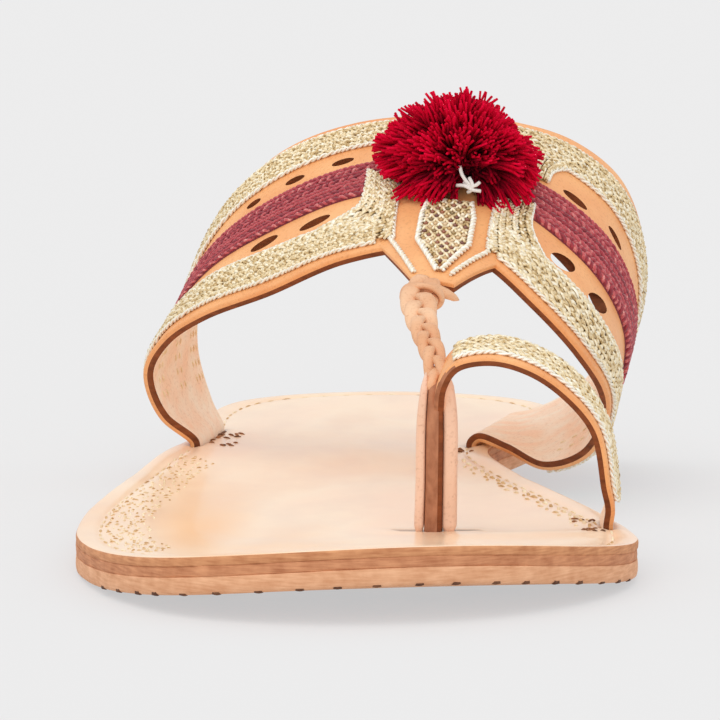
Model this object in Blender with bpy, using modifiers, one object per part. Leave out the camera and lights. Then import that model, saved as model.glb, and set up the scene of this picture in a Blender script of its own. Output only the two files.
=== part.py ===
"""Kolhapuri toe-loop sandal for the right foot.

The tables are in millimetres, in foot terms: medial is the offset towards the big toe's side,
station is the distance from the back of the heel, and height is measured from the floor.
"""

import math

import bmesh
import bpy
import numpy as np
from mathutils import Matrix, Vector

MM = 0.001

# Driving dimensions, in millimetres
SOLE_LENGTH = 250.0
CENTRE_SHIFT = 2.6         # medial offset of the middle of the sandal's width
SEAT_GAP = 0.3             # air between two pieces that meet
OUTSOLE_THICK = 2.6
MIDSOLE_THICK = 1.4
INSOLE_THICK = 1.4
MIDSOLE_INSET = 0.5        # the middle layer is skived a little inside the others
INSOLE_INSET = 0.2
EDGE_ROUND = 0.35          # chamfer of the layers' edges
MIDSOLE_BOTTOM = OUTSOLE_THICK + SEAT_GAP
INSOLE_BOTTOM = MIDSOLE_BOTTOM + MIDSOLE_THICK + SEAT_GAP
SLIT_DEPTH = 4.0           # height of the cutters that open the insole's slits
TOE_SPRING = 5.8           # lift of the sole's bottom at the toe
SPRING_START = 186.0
SPRING_TWIST = 0.010       # extra spring for each millimetre towards the big toe
ARCH_LIFT = 0.8
ARCH_START = 70.0
ARCH_END = 126.0
SOLE_SECTION_COUNT = 44
SOLE_END_TRIM = 0.001       # share of the length cut square at the heel and the toe
OUTLINE_POINTS = 300

BAND_THICK = 1.8
LOOP_THICK = 1.6
BRAID_THICK = 0.9
STRIPE_THICK = 0.6
PATCH_THICK = 1.2

# Sole outline: station, lateral edge, medial edge
SOLE_OUTLINE = (
    (5.0, -17.5, 17.5),
    (16.0, -28.3, 28.3),
    (34.0, -33.0, 33.0),
    (60.0, -33.5, 27.8),
    (80.0, -34.8, 22.4),
    (98.0, -37.2, 21.0),
    (120.0, -40.2, 26.8),
    (148.0, -43.0, 35.5),
    (176.0, -44.5, 43.4),
    (198.0, -43.4, 47.0),
    (216.0, -39.2, 44.2),
    (230.0, -33.2, 36.8),
    (241.0, -25.2, 26.5),
    (247.5, -14.5, 14.0),
)
HEEL_APEX = 0.0
TOE_APEX = 0.0

# Band over the instep, from the lateral slit to the medial slit:
# back edge medial, station, height, then front edge medial, station, height
BAND_SECTIONS = (
    (-29.5, 62.0, 4.8, -32.2, 90.0, 5.5),
    (-29.5, 62.0, 6.6, -32.2, 90.0, 7.3),
    (-31.6, 64.0, 12.0, -37.4, 92.0, 12.0),
    (-33.8, 69.0, 23.0, -40.0, 96.0, 20.0),
    (-32.0, 75.0, 36.0, -36.6, 100.5, 26.6),
    (-26.0, 79.5, 49.2, -29.0, 107.0, 32.0),
    (-16.2, 82.3, 58.8, -17.5, 115.4, 37.0),
    (-2.7, 83.6, 64.0, -3.8, 123.4, 43.5),
    (13.2, 84.0, 65.2, 11.5, 130.6, 46.6),
    (26.0, 82.4, 63.8, 20.8, 135.5, 44.6),
    (36.0, 79.6, 60.2, 29.2, 138.0, 37.6),
    (44.0, 76.0, 53.0, 37.0, 136.0, 28.9),
    (47.8, 70.0, 40.0, 41.6, 126.0, 19.4),
    (45.6, 64.0, 26.0, 38.6, 114.0, 9.2),
    (38.0, 59.0, 14.5, 31.0, 105.6, 5.4),
    (29.0, 56.0, 8.9, 23.8, 95.0, 7.3),
    (24.2, 55.2, 7.6, 18.8, 88.8, 8.2),
    (23.4, 55.0, 6.4, 17.6, 88.0, 7.1),
    (23.4, 55.0, 4.8, 17.6, 88.0, 5.4),
)
BAND_STEPS = 3             # columns of faces between two sections
BAND_ROWS = 10             # rows of faces from the back edge to the front edge
CROWN_FIRST = 6             # sections between which the band lies over the instep
CROWN_LAST = 11
UPRIGHT_FIRST = 4.0         # sections between which the medial offset grows all the way
UPRIGHT_LAST = 12.0
UPRIGHT_SAMPLES = 161
TAB_MEDIAL = 12.9          # medial offset of the tab's middle
TAB_HALF_ROOT = 9.7
TAB_HALF_TIP = 3.4
TAB_REACH = (-0.3, 14.5, -5.0)
TAB_SPAN = 0.30            # share of the band's width that the tab adds
HUMP_MEDIAL = 15.0         # middle of the small rise of the back edge
HUMP_HALF = 7.0
HUMP_SPAN = 0.06

# Loop round the big toe, from the post to the medial slit:
# back edge medial, station, height, then front edge medial, station, height
LOOP_SECTIONS = (
    (14.4, 187.0, 10.0, 14.6, 191.0, 10.0),
    (14.6, 188.0, 22.0, 14.8, 195.5, 22.0),
    (15.6, 188.6, 32.0, 15.6, 200.4, 30.8),
    (18.2, 189.0, 35.6, 17.9, 201.4, 34.0),
    (23.6, 189.2, 37.0, 23.4, 201.5, 35.0),
    (30.0, 188.8, 35.5, 29.4, 201.0, 33.4),
    (36.2, 188.0, 31.4, 35.0, 200.0, 29.6),
    (40.7, 186.0, 24.4, 39.9, 197.5, 23.4),
    (42.5, 183.0, 14.4, 41.8, 193.0, 13.4),
    (42.4, 180.4, 9.6, 42.5, 190.4, 9.6),
    (41.6, 179.2, 6.9, 42.2, 189.2, 6.9),
    (41.6, 179.0, 4.8, 42.2, 189.0, 4.8),
)
LOOP_STEPS = 3
LOOP_ROWS = 3

# Plaited thong: medial, station, height, half width, half thickness
THONG_SECTIONS = (
    (12.0, 144.4, 42.1, 3.0, 1.1),
    (11.2, 147.5, 41.4, 3.1, 1.6),
    (10.4, 155.0, 40.4, 3.1, 1.7),
    (11.1, 168.0, 38.6, 2.6, 1.6),
    (12.5, 180.0, 36.4, 2.1, 1.5),
    (14.1, 190.0, 33.6, 1.9, 1.5),
    (14.6, 195.6, 29.4, 1.9, 1.4),
)
PLAIT_PITCH = 9.0          # one full crossing of the strands
PLAIT_RELIEF = 0.16
THONG_STEPS = 5
THONG_SIDES = 12
KNOT_STEPS = 3
LACE_SIDES = 8

# Lace end that sticks out of the thong's knot: medial, station, height, half width, half thickness
KNOT_SECTIONS = (
    (11.6, 150.0, 40.8, 1.2, 1.0),
    (14.8, 150.2, 41.0, 1.3, 0.9),
    (17.4, 149.8, 40.3, 0.9, 0.6),
)

# Toe post of three strips: medial, station, height, half width, half depth
POST_SECTIONS = (
    (14.5, 195.0, 32.4, 2.6, 1.8),
    (14.4, 193.8, 25.0, 3.2, 2.0),
    (14.2, 191.2, 14.0, 3.3, 2.1),
    (14.0, 189.2, 6.6, 3.4, 2.1),
    (14.0, 189.2, 4.8, 3.4, 2.1),
)
POST_STRIPS = 3
POST_GROOVE = 0.22
POST_STEPS = 3
POST_SIDES = 18

# Punched slots: medial offset, share of the band's width from its back edge, half length, half width
SLOTS = (
    (-4.9, 0.285, 2.0, 0.9),
    (-13.4, 0.285, 1.9, 0.85),
    (-20.8, 0.28, 1.6, 0.8),
    (-9.1, 0.672, 2.9, 1.3),
    (-18.2, 0.652, 2.8, 1.3),
    (35.6, 0.325, 2.6, 1.2),
    (42.5, 0.305, 2.4, 1.1),
    (33.4, 0.69, 2.7, 1.4),
    (39.2, 0.705, 2.5, 1.4),
)
SLOT_DEPTH = 6.0
SLOT_SIDES = 12

# Trims along the band, as shares of its width from the back edge:
# back and front limit at the lateral end, then back and front limit at the medial end
BACK_BRAID = (0.035, 0.21, 0.045, 0.20)
LATERAL_BRAID = (0.61, 0.885, 0.785, 0.965)
MEDIAL_BRAID = (0.765, 0.965, 0.785, 0.965)
LATERAL_STRIPE = (0.37, 0.60, 0.355, 0.585)
MEDIAL_STRIPE = (0.385, 0.60, 0.37, 0.605)
TRIM_LOW = 2.2             # section at which the trims end on the lateral side
TRIM_HIGH = 14.0           # section at which they end on the medial side
BRAID_INNER = (2.2, 22.4)  # medial offsets at which the front braids stop beside the tab
STRIPE_INNER = (3.4, 29.9) # medial offsets at which the stripes stop at the pompom
TRIM_ROWS = 20

# Leaf on the tab and anchor patch inside it
MOTIF_MEDIAL = 13.8
MOTIF_HALF = 4.4
MOTIF_SHARES = (0.75, 1.23)
# share of the leaf's length, share of its half width
LEAF_OUTLINE = ((0.0, 0.88), (0.1, 1.0), (0.5, 1.0), (1.0, 0.1))
PATCH_HALF = 5.4
PATCH_SHARES = (0.84, 1.19)
LOOP_BRAID_SECTIONS = (3.0, 8.6)
LOOP_BRAID_SHARES = (0.14, 0.86)

# Pompom on the band
POMPOM_MEDIAL = 17.0
POMPOM_SHARE = 0.485        # place of its middle across the band's width
POMPOM_RADIUS = 12.6
POMPOM_MIDDLE = 4.4        # height of its widest part above the band
POMPOM_RISE = 11.4
POMPOM_LOCKS = 70
LOCK_SPREAD = 0.11
LOCK_HEIGHT = 0.13


def clear_scene():
    """Remove what the scene holds."""
    for item in list(bpy.data.objects):
        bpy.data.objects.remove(item, do_unlink=True)


def place(medial, station, height):
    """Position in metres of a point given in foot terms."""
    return Vector((
        (medial - CENTRE_SHIFT) * MM,
        (SOLE_LENGTH / 2 - station) * MM,
        height * MM,
    ))


def smooth(rows, number):
    """Values on the smooth curve through the rows, at a row number that may be a fraction."""
    rows = np.asarray(rows, dtype=float)
    steps = np.linalg.norm(np.diff(rows, axis=0), axis=1) ** 0.5
    knots = np.concatenate(([0.0], np.cumsum(steps)))
    slopes = np.gradient(rows, knots, axis=0)
    first = min(max(int(math.floor(number)), 0), len(rows) - 2)
    part = number - first
    width = steps[first]
    square, cube = part ** 2, part ** 3
    return (
        (2 * cube - 3 * square + 1) * rows[first]
        + (cube - 2 * square + part) * width * slopes[first]
        + (3 * square - 2 * cube) * rows[first + 1]
        + (cube - square) * width * slopes[first + 1]
    )


def ease(value):
    """Soft step from 0 to 1."""
    value = min(max(value, 0.0), 1.0)
    return value * value * (3 - 2 * value)


def strap_point(rows, number, share):
    """Point of a strap's middle surface: share 0 is its back edge and share 1 its front edge."""
    values = smooth(rows, number)
    back, front = values[:3], values[3:6]
    return back + (front - back) * share


def band_point(number, share):
    """Point of the band's middle surface; past share 1 it runs out into the tab."""
    point = strap_point(BAND_SECTIONS, number, min(share, 1.0))
    past = max(share - 1.0, 0.0) / TAB_SPAN
    return point + past * np.array(TAB_REACH)


def loop_point(number, share):
    """Point of the toe loop's middle surface."""
    return strap_point(LOOP_SECTIONS, number, share)


def outward(surface, number, share):
    """Unit normal of a strap surface, away from the foot."""
    step = 0.02
    across = surface(number + step, share) - surface(number - step, share)
    along = surface(number, share + step) - surface(number, share - step)
    normal = np.cross(across, along)
    return normal / np.linalg.norm(normal)


def band_number(medial, share):
    """Section number at which the band's upper stretch has the given medial offset."""
    numbers = np.linspace(UPRIGHT_FIRST, UPRIGHT_LAST, UPRIGHT_SAMPLES)
    offsets = [band_point(number, share)[0] for number in numbers]
    return float(np.interp(medial, offsets, numbers))


def front_share(number):
    """Front limit of the band: the front edge, and the tab in the middle."""
    if not CROWN_FIRST < number < CROWN_LAST:
        return 1.0
    offset = abs(band_point(number, 1.0)[0] - TAB_MEDIAL)
    reach = (TAB_HALF_ROOT - offset) / (TAB_HALF_ROOT - TAB_HALF_TIP)
    return 1.0 + TAB_SPAN * min(max(reach, 0.0), 1.0)


def back_share(number):
    """Back limit of the band: the back edge with its small rise behind the pompom."""
    if not CROWN_FIRST < number < CROWN_LAST:
        return 0.0
    offset = abs(band_point(number, 0.0)[0] - HUMP_MEDIAL)
    return -HUMP_SPAN * ease(2.0 * (1.0 - offset / HUMP_HALF))


def make_collection(name):
    """New collection in the scene."""
    collection = bpy.data.collections.new(name)
    bpy.context.scene.collection.children.link(collection)
    return collection


def make_material(name, colour, roughness, metallic=0.0):
    """Principled material with one colour."""
    material = bpy.data.materials.new(name)
    material.use_nodes = True
    shader = material.node_tree.nodes["Principled BSDF"]
    shader.inputs["Base Color"].default_value = (*colour, 1.0)
    shader.inputs["Roughness"].default_value = roughness
    shader.inputs["Metallic"].default_value = metallic
    material.diffuse_color = (*colour, 1.0)
    return material


def make_object(name, mesh, collection, material=None):
    """Named object for a mesh."""
    item = bpy.data.objects.new(name, mesh)
    collection.objects.link(item)
    if material:
        mesh.materials.append(material)
    return item


def make_helper(name, mesh, collection):
    """Shape that is joined to a piece or cut from it, and isn't a piece by itself."""
    item = make_object(name, mesh, collection)
    item.hide_render = True
    item.display_type = "WIRE"
    return item


def mesh_from(name, bm):
    """Mesh data from a working mesh, with its faces turned outwards."""
    bm.normal_update()
    bmesh.ops.recalc_face_normals(bm, faces=bm.faces)
    mesh = bpy.data.meshes.new(name)
    bm.to_mesh(mesh)
    bm.free()
    return mesh


def sheet_mesh(name, rows):
    """Open sheet of quads through rows of points."""
    bm = bmesh.new()
    verts = [[bm.verts.new(place(*point)) for point in row] for row in rows]
    for row, following in zip(verts, verts[1:]):
        for side in range(len(row) - 1):
            bm.faces.new((row[side], row[side + 1], following[side + 1], following[side]))
    bmesh.ops.remove_doubles(bm, verts=bm.verts, dist=0.02 * MM)
    mesh = bpy.data.meshes.new(name)
    bm.to_mesh(mesh)
    bm.free()
    return mesh


def tube_mesh(name, rings):
    """Closed solid through rings of points, with a face at each end."""
    bm = bmesh.new()
    verts = [[bm.verts.new(point) for point in ring] for ring in rings]
    for ring, following in zip(verts, verts[1:]):
        for side in range(len(ring)):
            after = (side + 1) % len(ring)
            bm.faces.new((ring[side], ring[after], following[after], following[side]))
    bm.faces.new(verts[0])
    bm.faces.new(verts[-1])
    return mesh_from(name, bm)


def add_wall(item, thickness):
    """Give an open sheet its thickness, half to each side."""
    wall = item.modifiers.new("Wall", "SOLIDIFY")
    wall.thickness = thickness * MM
    wall.offset = 0.0


def add_boolean(item, helper, operation):
    """Join a helper to a piece or cut it away."""
    boolean = item.modifiers.new(helper.name, "BOOLEAN")
    boolean.operation = operation
    boolean.object = helper


def outline_sides():
    """Lateral and medial edges of the sole as dense curves of station and medial offset."""
    lateral = [(row[0], row[1]) for row in SOLE_OUTLINE]
    medial = [(row[0], row[2]) for row in SOLE_OUTLINE]
    ring = [(0.0, HEEL_APEX), *lateral, (SOLE_LENGTH, TOE_APEX), *reversed(medial)]
    wrap = 3
    closed = ring[-wrap:] + ring + ring[:wrap + 1]
    toe = wrap + len(lateral) + 1
    end = wrap + len(ring)
    towards_toe = [smooth(closed, n) for n in np.linspace(wrap, toe, OUTLINE_POINTS)]
    towards_heel = [smooth(closed, n) for n in np.linspace(end, toe, OUTLINE_POINTS)]
    return np.array(towards_toe), np.array(towards_heel)


LATERAL_EDGE, MEDIAL_EDGE = outline_sides()


def sole_lift(medial, station):
    """Height of the sole's bottom above the floor: toe spring and arch."""
    share = max(station - SPRING_START, 0.0) / (SOLE_LENGTH - SPRING_START)
    spring = TOE_SPRING * share ** 2 * (1.0 + SPRING_TWIST * medial)
    arch = (station - ARCH_START) / (ARCH_END - ARCH_START)
    rise = ARCH_LIFT * math.sin(math.pi * min(max(arch, 0.0), 1.0)) ** 2
    return spring + rise


def sole_layer(name, bottom, thickness, inset, collection, material):
    """One leather layer of the sole, lofted through sections from heel to toe."""
    rings = []
    middle = SOLE_LENGTH / 2
    for angle in np.linspace(0.0, math.pi, SOLE_SECTION_COUNT + 1):
        share = 0.5 - (0.5 - SOLE_END_TRIM) * math.cos(angle)
        outline_station = SOLE_LENGTH * share
        station = middle + (outline_station - middle) * (1.0 - inset / middle)
        lateral = np.interp(outline_station, LATERAL_EDGE[:, 0], LATERAL_EDGE[:, 1]) + inset
        medial = np.interp(outline_station, MEDIAL_EDGE[:, 0], MEDIAL_EDGE[:, 1]) - inset
        top = bottom + thickness
        corners = (
            (lateral, bottom + EDGE_ROUND),
            (lateral + EDGE_ROUND, bottom),
            (medial - EDGE_ROUND, bottom),
            (medial, bottom + EDGE_ROUND),
            (medial, top - EDGE_ROUND),
            (medial - EDGE_ROUND, top),
            (lateral + EDGE_ROUND, top),
            (lateral, top - EDGE_ROUND),
        )
        rings.append([place(m, station, z + sole_lift(m, station)) for m, z in corners])
    return make_object(name, tube_mesh(name, rings), collection, material)


def slit_box(bm, start, end, thickness):
    """Box cutter along the line between two points of medial offset and station."""
    height = INSOLE_BOTTOM + (INSOLE_THICK + ARCH_LIFT) / 2
    low, high = place(*start, height), place(*end, height)
    run = high - low
    length = run.length + 2 * SEAT_GAP * MM
    width = (thickness + 2 * SEAT_GAP) * MM
    size = Matrix.Diagonal((length, width, SLIT_DEPTH * MM, 1.0))
    turn = Matrix.Rotation(math.atan2(run.y, run.x), 4, "Z")
    middle = Matrix.Translation((low + high) / 2)
    bmesh.ops.create_cube(bm, size=1.0, matrix=middle @ turn @ size)


def insole_slits(helpers):
    """Cutters for the slits that take the ends of the straps and the post."""
    bm = bmesh.new()
    for rows, thickness in ((BAND_SECTIONS, BAND_THICK), (LOOP_SECTIONS, LOOP_THICK)):
        last = rows[-1]
        slit_box(bm, last[0:2], last[3:5], thickness)
    first = BAND_SECTIONS[0]
    slit_box(bm, first[0:2], first[3:5], BAND_THICK)
    medial, station, _, half_width, half_depth = POST_SECTIONS[-1]
    slit_box(bm, (medial - half_width, station), (medial + half_width, station), 2 * half_depth)
    return make_helper("slit_cutters", mesh_from("slit_cutters", bm), helpers)


def make_sole(parts, helpers):
    """Outsole, midsole and insole, one above the other."""
    sole_leather = make_material("sole_leather", (0.45, 0.22, 0.10), 0.75)
    filler_leather = make_material("filler_leather", (0.36, 0.17, 0.08), 0.8)
    insole_leather = make_material("insole_leather", (0.80, 0.52, 0.30), 0.35)
    sole_layer("outsole", 0.0, OUTSOLE_THICK, 0.0, parts, sole_leather)
    sole_layer("midsole", MIDSOLE_BOTTOM, MIDSOLE_THICK, MIDSOLE_INSET, parts, filler_leather)
    insole = sole_layer("insole", INSOLE_BOTTOM, INSOLE_THICK, INSOLE_INSET, parts, insole_leather)
    add_boolean(insole, insole_slits(helpers), "DIFFERENCE")


def band_numbers():
    """Section numbers of the band's columns, with columns on the corners of the tab."""
    count = (len(BAND_SECTIONS) - 1) * BAND_STEPS
    numbers = np.linspace(0.0, len(BAND_SECTIONS) - 1.0, count + 1)
    for offset in (-TAB_HALF_ROOT, -TAB_HALF_TIP, TAB_HALF_TIP, TAB_HALF_ROOT):
        corner = band_number(TAB_MEDIAL + offset, 1.0)
        numbers[np.argmin(abs(numbers - corner))] = corner
    return numbers


def ring_about(path_row, direction, section):
    """Ring of points of a section laid square to a path."""
    forward = direction / np.linalg.norm(direction)
    side = np.array((1.0, 0.0, 0.0))
    if abs(forward[0]) > 0.8:
        side = np.array((0.0, 1.0, 0.0))
    side = side - forward * np.dot(side, forward)
    side = side / np.linalg.norm(side)
    above = np.cross(side, forward)
    return [place(*(path_row[:3] + side * x + above * y)) for x, y in section]


def swept_mesh(name, rows, steps, section):
    """Solid swept through rows of place and half sizes; section gives the outline at a length."""
    count = (len(rows) - 1) * steps
    numbers = np.linspace(0.0, len(rows) - 1.0, count + 1)
    values = np.array([smooth(rows, number) for number in numbers])
    directions = np.gradient(values[:, :3], axis=0)
    pieces = np.linalg.norm(np.diff(values[:, :3], axis=0), axis=1)
    lengths = np.concatenate(([0.0], np.cumsum(pieces)))
    rings = []
    for value, direction, length in zip(values, directions, lengths):
        rings.append(ring_about(value, direction, section(value[3], value[4], length)))
    return tube_mesh(name, rings)


def plait_section(half_width, half_thick, length):
    """Outline of the plait: its two rows of strands swell in turn."""
    points = []
    for side in range(THONG_SIDES):
        angle = 2 * math.pi * side / THONG_SIDES
        turn = 0.0 if math.cos(angle) >= 0 else math.pi
        swell = 1.0 + PLAIT_RELIEF * math.cos(2 * math.pi * length / PLAIT_PITCH + turn)
        points.append((half_width * swell * math.cos(angle), half_thick * swell * math.sin(angle)))
    return points


def strip_section(half_width, half_thick, _length):
    """Outline of a plain lace."""
    angles = [2 * math.pi * side / LACE_SIDES for side in range(LACE_SIDES)]
    return [(half_width * math.cos(a), half_thick * math.sin(a)) for a in angles]


def post_section(half_width, half_depth, _length):
    """Outline of the post: strips side by side, with grooves between them."""
    points = []
    for side in range(POST_SIDES):
        angle = 2 * math.pi * side / POST_SIDES
        x = half_width * math.cos(angle)
        groove = 0.5 - 0.5 * math.cos(2 * math.pi * POST_STRIPS * (x / half_width + 1) / 2)
        depth = half_depth * (1.0 - POST_GROOVE * (1.0 - groove))
        edge = max(abs(math.sin(angle)), 1e-6) ** 0.4 * math.copysign(1.0, math.sin(angle))
        points.append((x, depth * edge))
    return points


def slot_cutters(helpers):
    """Stadium-shaped punches through the band."""
    bm = bmesh.new()
    for medial, share, half_length, half_width in SLOTS:
        straight = half_length - half_width
        number = band_number(medial, share)
        normal = outward(band_point, number, share)
        along = band_point(number + 0.05, share) - band_point(number - 0.05, share)
        along = along / np.linalg.norm(along)
        cross = np.cross(normal, along)
        centre = band_point(number, share)
        ends = []
        for depth in (-SLOT_DEPTH / 2, SLOT_DEPTH / 2):
            ring = []
            for step in range(SLOT_SIDES):
                angle = 2 * math.pi * (step + 0.5) / SLOT_SIDES
                run = math.copysign(straight, math.cos(angle)) + half_width * math.cos(angle)
                wide = half_width * math.sin(angle)
                point = centre + normal * depth + along * run + cross * wide
                ring.append(bm.verts.new(place(*point)))
            ends.append(ring)
        for step in range(SLOT_SIDES):
            after = (step + 1) % SLOT_SIDES
            bm.faces.new((ends[0][step], ends[0][after], ends[1][after], ends[1][step]))
        bm.faces.new(ends[0])
        bm.faces.new(ends[1])
    return make_helper("slot_cutters", mesh_from("slot_cutters", bm), helpers)


def make_upper(parts, helpers):
    """Band with its tab, thong, post and toe loop, joined into one leather wall."""
    rows = []
    for number in band_numbers():
        shares = np.linspace(back_share(number), front_share(number), BAND_ROWS + 1)
        rows.append([band_point(number, share) for share in shares])
    leather = make_material("band_leather", (0.78, 0.40, 0.17), 0.5)
    upper = make_object("upper", sheet_mesh("upper", rows), parts, leather)
    add_wall(upper, BAND_THICK)

    count = (len(LOOP_SECTIONS) - 1) * LOOP_STEPS
    loop_rows = []
    for number in np.linspace(0.0, len(LOOP_SECTIONS) - 1.0, count + 1):
        shares = np.linspace(0.0, 1.0, LOOP_ROWS + 1)
        loop_rows.append([loop_point(number, share) for share in shares])
    loop = make_helper("toe_loop", sheet_mesh("toe_loop", loop_rows), helpers)
    add_wall(loop, LOOP_THICK)

    thong_mesh = swept_mesh("thong", THONG_SECTIONS, THONG_STEPS, plait_section)
    knot_mesh = swept_mesh("knot_end", KNOT_SECTIONS, KNOT_STEPS, strip_section)
    post_mesh = swept_mesh("toe_post", POST_SECTIONS, POST_STEPS, post_section)
    thong = make_helper("thong", thong_mesh, helpers)
    knot = make_helper("knot_end", knot_mesh, helpers)
    post = make_helper("toe_post", post_mesh, helpers)
    for helper in (thong, knot, post, loop):
        add_boolean(upper, helper, "UNION")
    add_boolean(upper, slot_cutters(helpers), "DIFFERENCE")


def make_overlay(name, surface, chart, size, lift, thickness, parts, material):
    """Trim that follows a strap: chart turns two shares into a section number and a width share."""
    rows = []
    for first in np.linspace(0.0, 1.0, size[0] + 1):
        row = []
        for second in np.linspace(0.0, 1.0, size[1] + 1):
            number, share = chart(first, second)
            row.append(surface(number, share) + lift * outward(surface, number, share))
        rows.append(row)
    item = make_object(name, sheet_mesh(name, rows), parts, material)
    add_wall(item, thickness)


def between(low, high, share):
    """Value between two ends."""
    return low + (high - low) * share


def strip_chart(first, last, limits):
    """Chart of a trim from one section to another between its back and front limits."""
    def chart(along, across):
        low = between(limits[0], limits[2], along)
        high = between(limits[1], limits[3], along)
        return between(first, last, along), between(low, high, across)
    return chart


def motif_chart(along, across):
    """Chart of the leaf on the tab."""
    half = MOTIF_HALF * np.interp(along, *zip(*LEAF_OUTLINE))
    number = band_number(MOTIF_MEDIAL + half * between(-1.0, 1.0, across), 1.0)
    return number, between(*MOTIF_SHARES, along)


def patch_chart(along, across):
    """Chart of the square anchor patch inside the tab."""
    number = band_number(TAB_MEDIAL + PATCH_HALF * between(-1.0, 1.0, across), 1.0)
    return number, between(*PATCH_SHARES, along)


def make_trims(parts):
    """Braids, stripes, leaf and anchor patch on the band and the loop."""
    gold = make_material("gold_braid", (0.76, 0.62, 0.32), 0.45, 0.4)
    maroon = make_material("maroon_weave", (0.33, 0.05, 0.08), 0.8)
    beads = make_material("bead_motif", (0.72, 0.60, 0.38), 0.4, 0.3)
    anchor = make_material("anchor_leather", (0.30, 0.13, 0.06), 0.7)
    braid_lift = BAND_THICK / 2 + SEAT_GAP + BRAID_THICK / 2
    stripe_lift = BAND_THICK / 2 + SEAT_GAP + STRIPE_THICK / 2
    patch_lift = -(BAND_THICK / 2 + SEAT_GAP + PATCH_THICK / 2)
    loop_lift = LOOP_THICK / 2 + SEAT_GAP + STRIPE_THICK / 2

    braid_ends = [band_number(medial, 1.0) for medial in BRAID_INNER]
    stripe_ends = [band_number(medial, 0.45) for medial in STRIPE_INNER]
    long_strip = (2 * TRIM_ROWS, 2)
    strip = (TRIM_ROWS, 2)
    trims = (
        ("back_braid", strip_chart(TRIM_LOW, TRIM_HIGH, BACK_BRAID), long_strip, gold),
        ("lateral_braid", strip_chart(TRIM_LOW, braid_ends[0], LATERAL_BRAID), strip, gold),
        ("medial_braid", strip_chart(braid_ends[1], TRIM_HIGH, MEDIAL_BRAID), strip, gold),
        ("tab_motif", motif_chart, (10, 6), beads),
    )
    stripes = (
        ("lateral_stripe", strip_chart(TRIM_LOW, stripe_ends[0], LATERAL_STRIPE), strip, maroon),
        ("medial_stripe", strip_chart(stripe_ends[1], TRIM_HIGH, MEDIAL_STRIPE), strip, maroon),
    )
    for name, chart, size, material in trims:
        make_overlay(name, band_point, chart, size, braid_lift, BRAID_THICK, parts, material)
    for name, chart, size, material in stripes:
        make_overlay(name, band_point, chart, size, stripe_lift, STRIPE_THICK, parts, material)
    make_overlay("thong_patch", band_point, patch_chart, (6, 5), patch_lift, PATCH_THICK, parts, anchor)
    loop_limits = LOOP_BRAID_SHARES * 2
    loop_chart = strip_chart(*LOOP_BRAID_SECTIONS, loop_limits)
    make_overlay("loop_braid", loop_point, loop_chart, strip, loop_lift, STRIPE_THICK, parts, gold)


def lock_directions():
    """Even spread of the yarn locks over the pompom."""
    turn = math.pi * (3 - math.sqrt(5))
    directions = []
    for lock in range(POMPOM_LOCKS):
        height = 1.0 - 1.25 * (lock + 0.5) / POMPOM_LOCKS
        radius = math.sqrt(1.0 - height ** 2)
        directions.append((radius * math.cos(turn * lock), radius * math.sin(turn * lock), height))
    return np.array(directions)


def make_pompom(parts):
    """Half dome of yarn locks, laid on the band's own curve."""
    yarn = make_material("crimson_yarn", (0.55, 0.01, 0.03), 0.9)
    locks = lock_directions()
    number = band_number(POMPOM_MEDIAL, POMPOM_SHARE)
    section_span = np.linalg.norm(
        band_point(number + 0.5, POMPOM_SHARE) - band_point(number - 0.5, POMPOM_SHARE))
    width_span = np.linalg.norm(band_point(number, 1.0) - band_point(number, 0.0))
    seat = BAND_THICK / 2 + SEAT_GAP
    bm = bmesh.new()
    bmesh.ops.create_icosphere(bm, subdivisions=4, radius=1.0)
    for vert in bm.verts:
        direction = np.array(vert.co)
        nearest = math.acos(min(1.0, float(np.max(locks @ direction))))
        swell = 1.0 - LOCK_HEIGHT / 2 + LOCK_HEIGHT * math.exp(-(nearest / LOCK_SPREAD) ** 2)
        x, y, z = direction * swell
        height = max(POMPOM_MIDDLE + POMPOM_RISE * z, 0.0)
        at_number = number + POMPOM_RADIUS * x / section_span
        at_share = POMPOM_SHARE + POMPOM_RADIUS * y / width_span
        normal = outward(band_point, at_number, at_share)
        vert.co = place(*(band_point(at_number, at_share) + (seat + height) * normal))
    item = make_object("pompom", mesh_from("pompom", bm), parts, yarn)
    item.data.shade_smooth()


def main():
    """Build the sandal."""
    clear_scene()
    parts = make_collection("kolhapuri_sandal")
    helpers = make_collection("cutters")
    make_sole(parts, helpers)
    make_upper(parts, helpers)
    make_trims(parts)
    make_pompom(parts)


main()
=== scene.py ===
# %% [markdown]
# # A kolhapuri sandal for the right foot
# The real sandal is vegetable-tanned leather, cut and stitched by hand: a sole of three layers, a wide band
# over the instep, a plaited thong to a toe post, and a loop for the big toe. The band carries gold braid,
# maroon weave, a beaded leaf and a crimson pompom. The solid model already has every piece at its real size,
# so this lesson only dresses it: it makes finer meshes in the same places and hides the solids that they
# stand for.

import math

import bmesh
import bpy
import numpy as np
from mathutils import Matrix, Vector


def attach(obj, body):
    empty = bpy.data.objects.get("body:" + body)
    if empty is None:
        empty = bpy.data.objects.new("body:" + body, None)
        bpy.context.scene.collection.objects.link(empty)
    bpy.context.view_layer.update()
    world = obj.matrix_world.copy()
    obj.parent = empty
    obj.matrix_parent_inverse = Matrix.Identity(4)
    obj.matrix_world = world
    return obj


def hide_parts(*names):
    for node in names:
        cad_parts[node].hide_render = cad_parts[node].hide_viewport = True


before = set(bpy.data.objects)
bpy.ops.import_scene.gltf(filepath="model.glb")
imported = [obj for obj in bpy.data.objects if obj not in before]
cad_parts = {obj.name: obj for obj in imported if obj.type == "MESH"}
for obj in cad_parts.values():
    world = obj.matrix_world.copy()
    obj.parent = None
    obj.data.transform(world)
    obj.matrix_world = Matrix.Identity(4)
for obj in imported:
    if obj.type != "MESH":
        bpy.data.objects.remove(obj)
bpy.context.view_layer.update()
MM = 0.001

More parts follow.
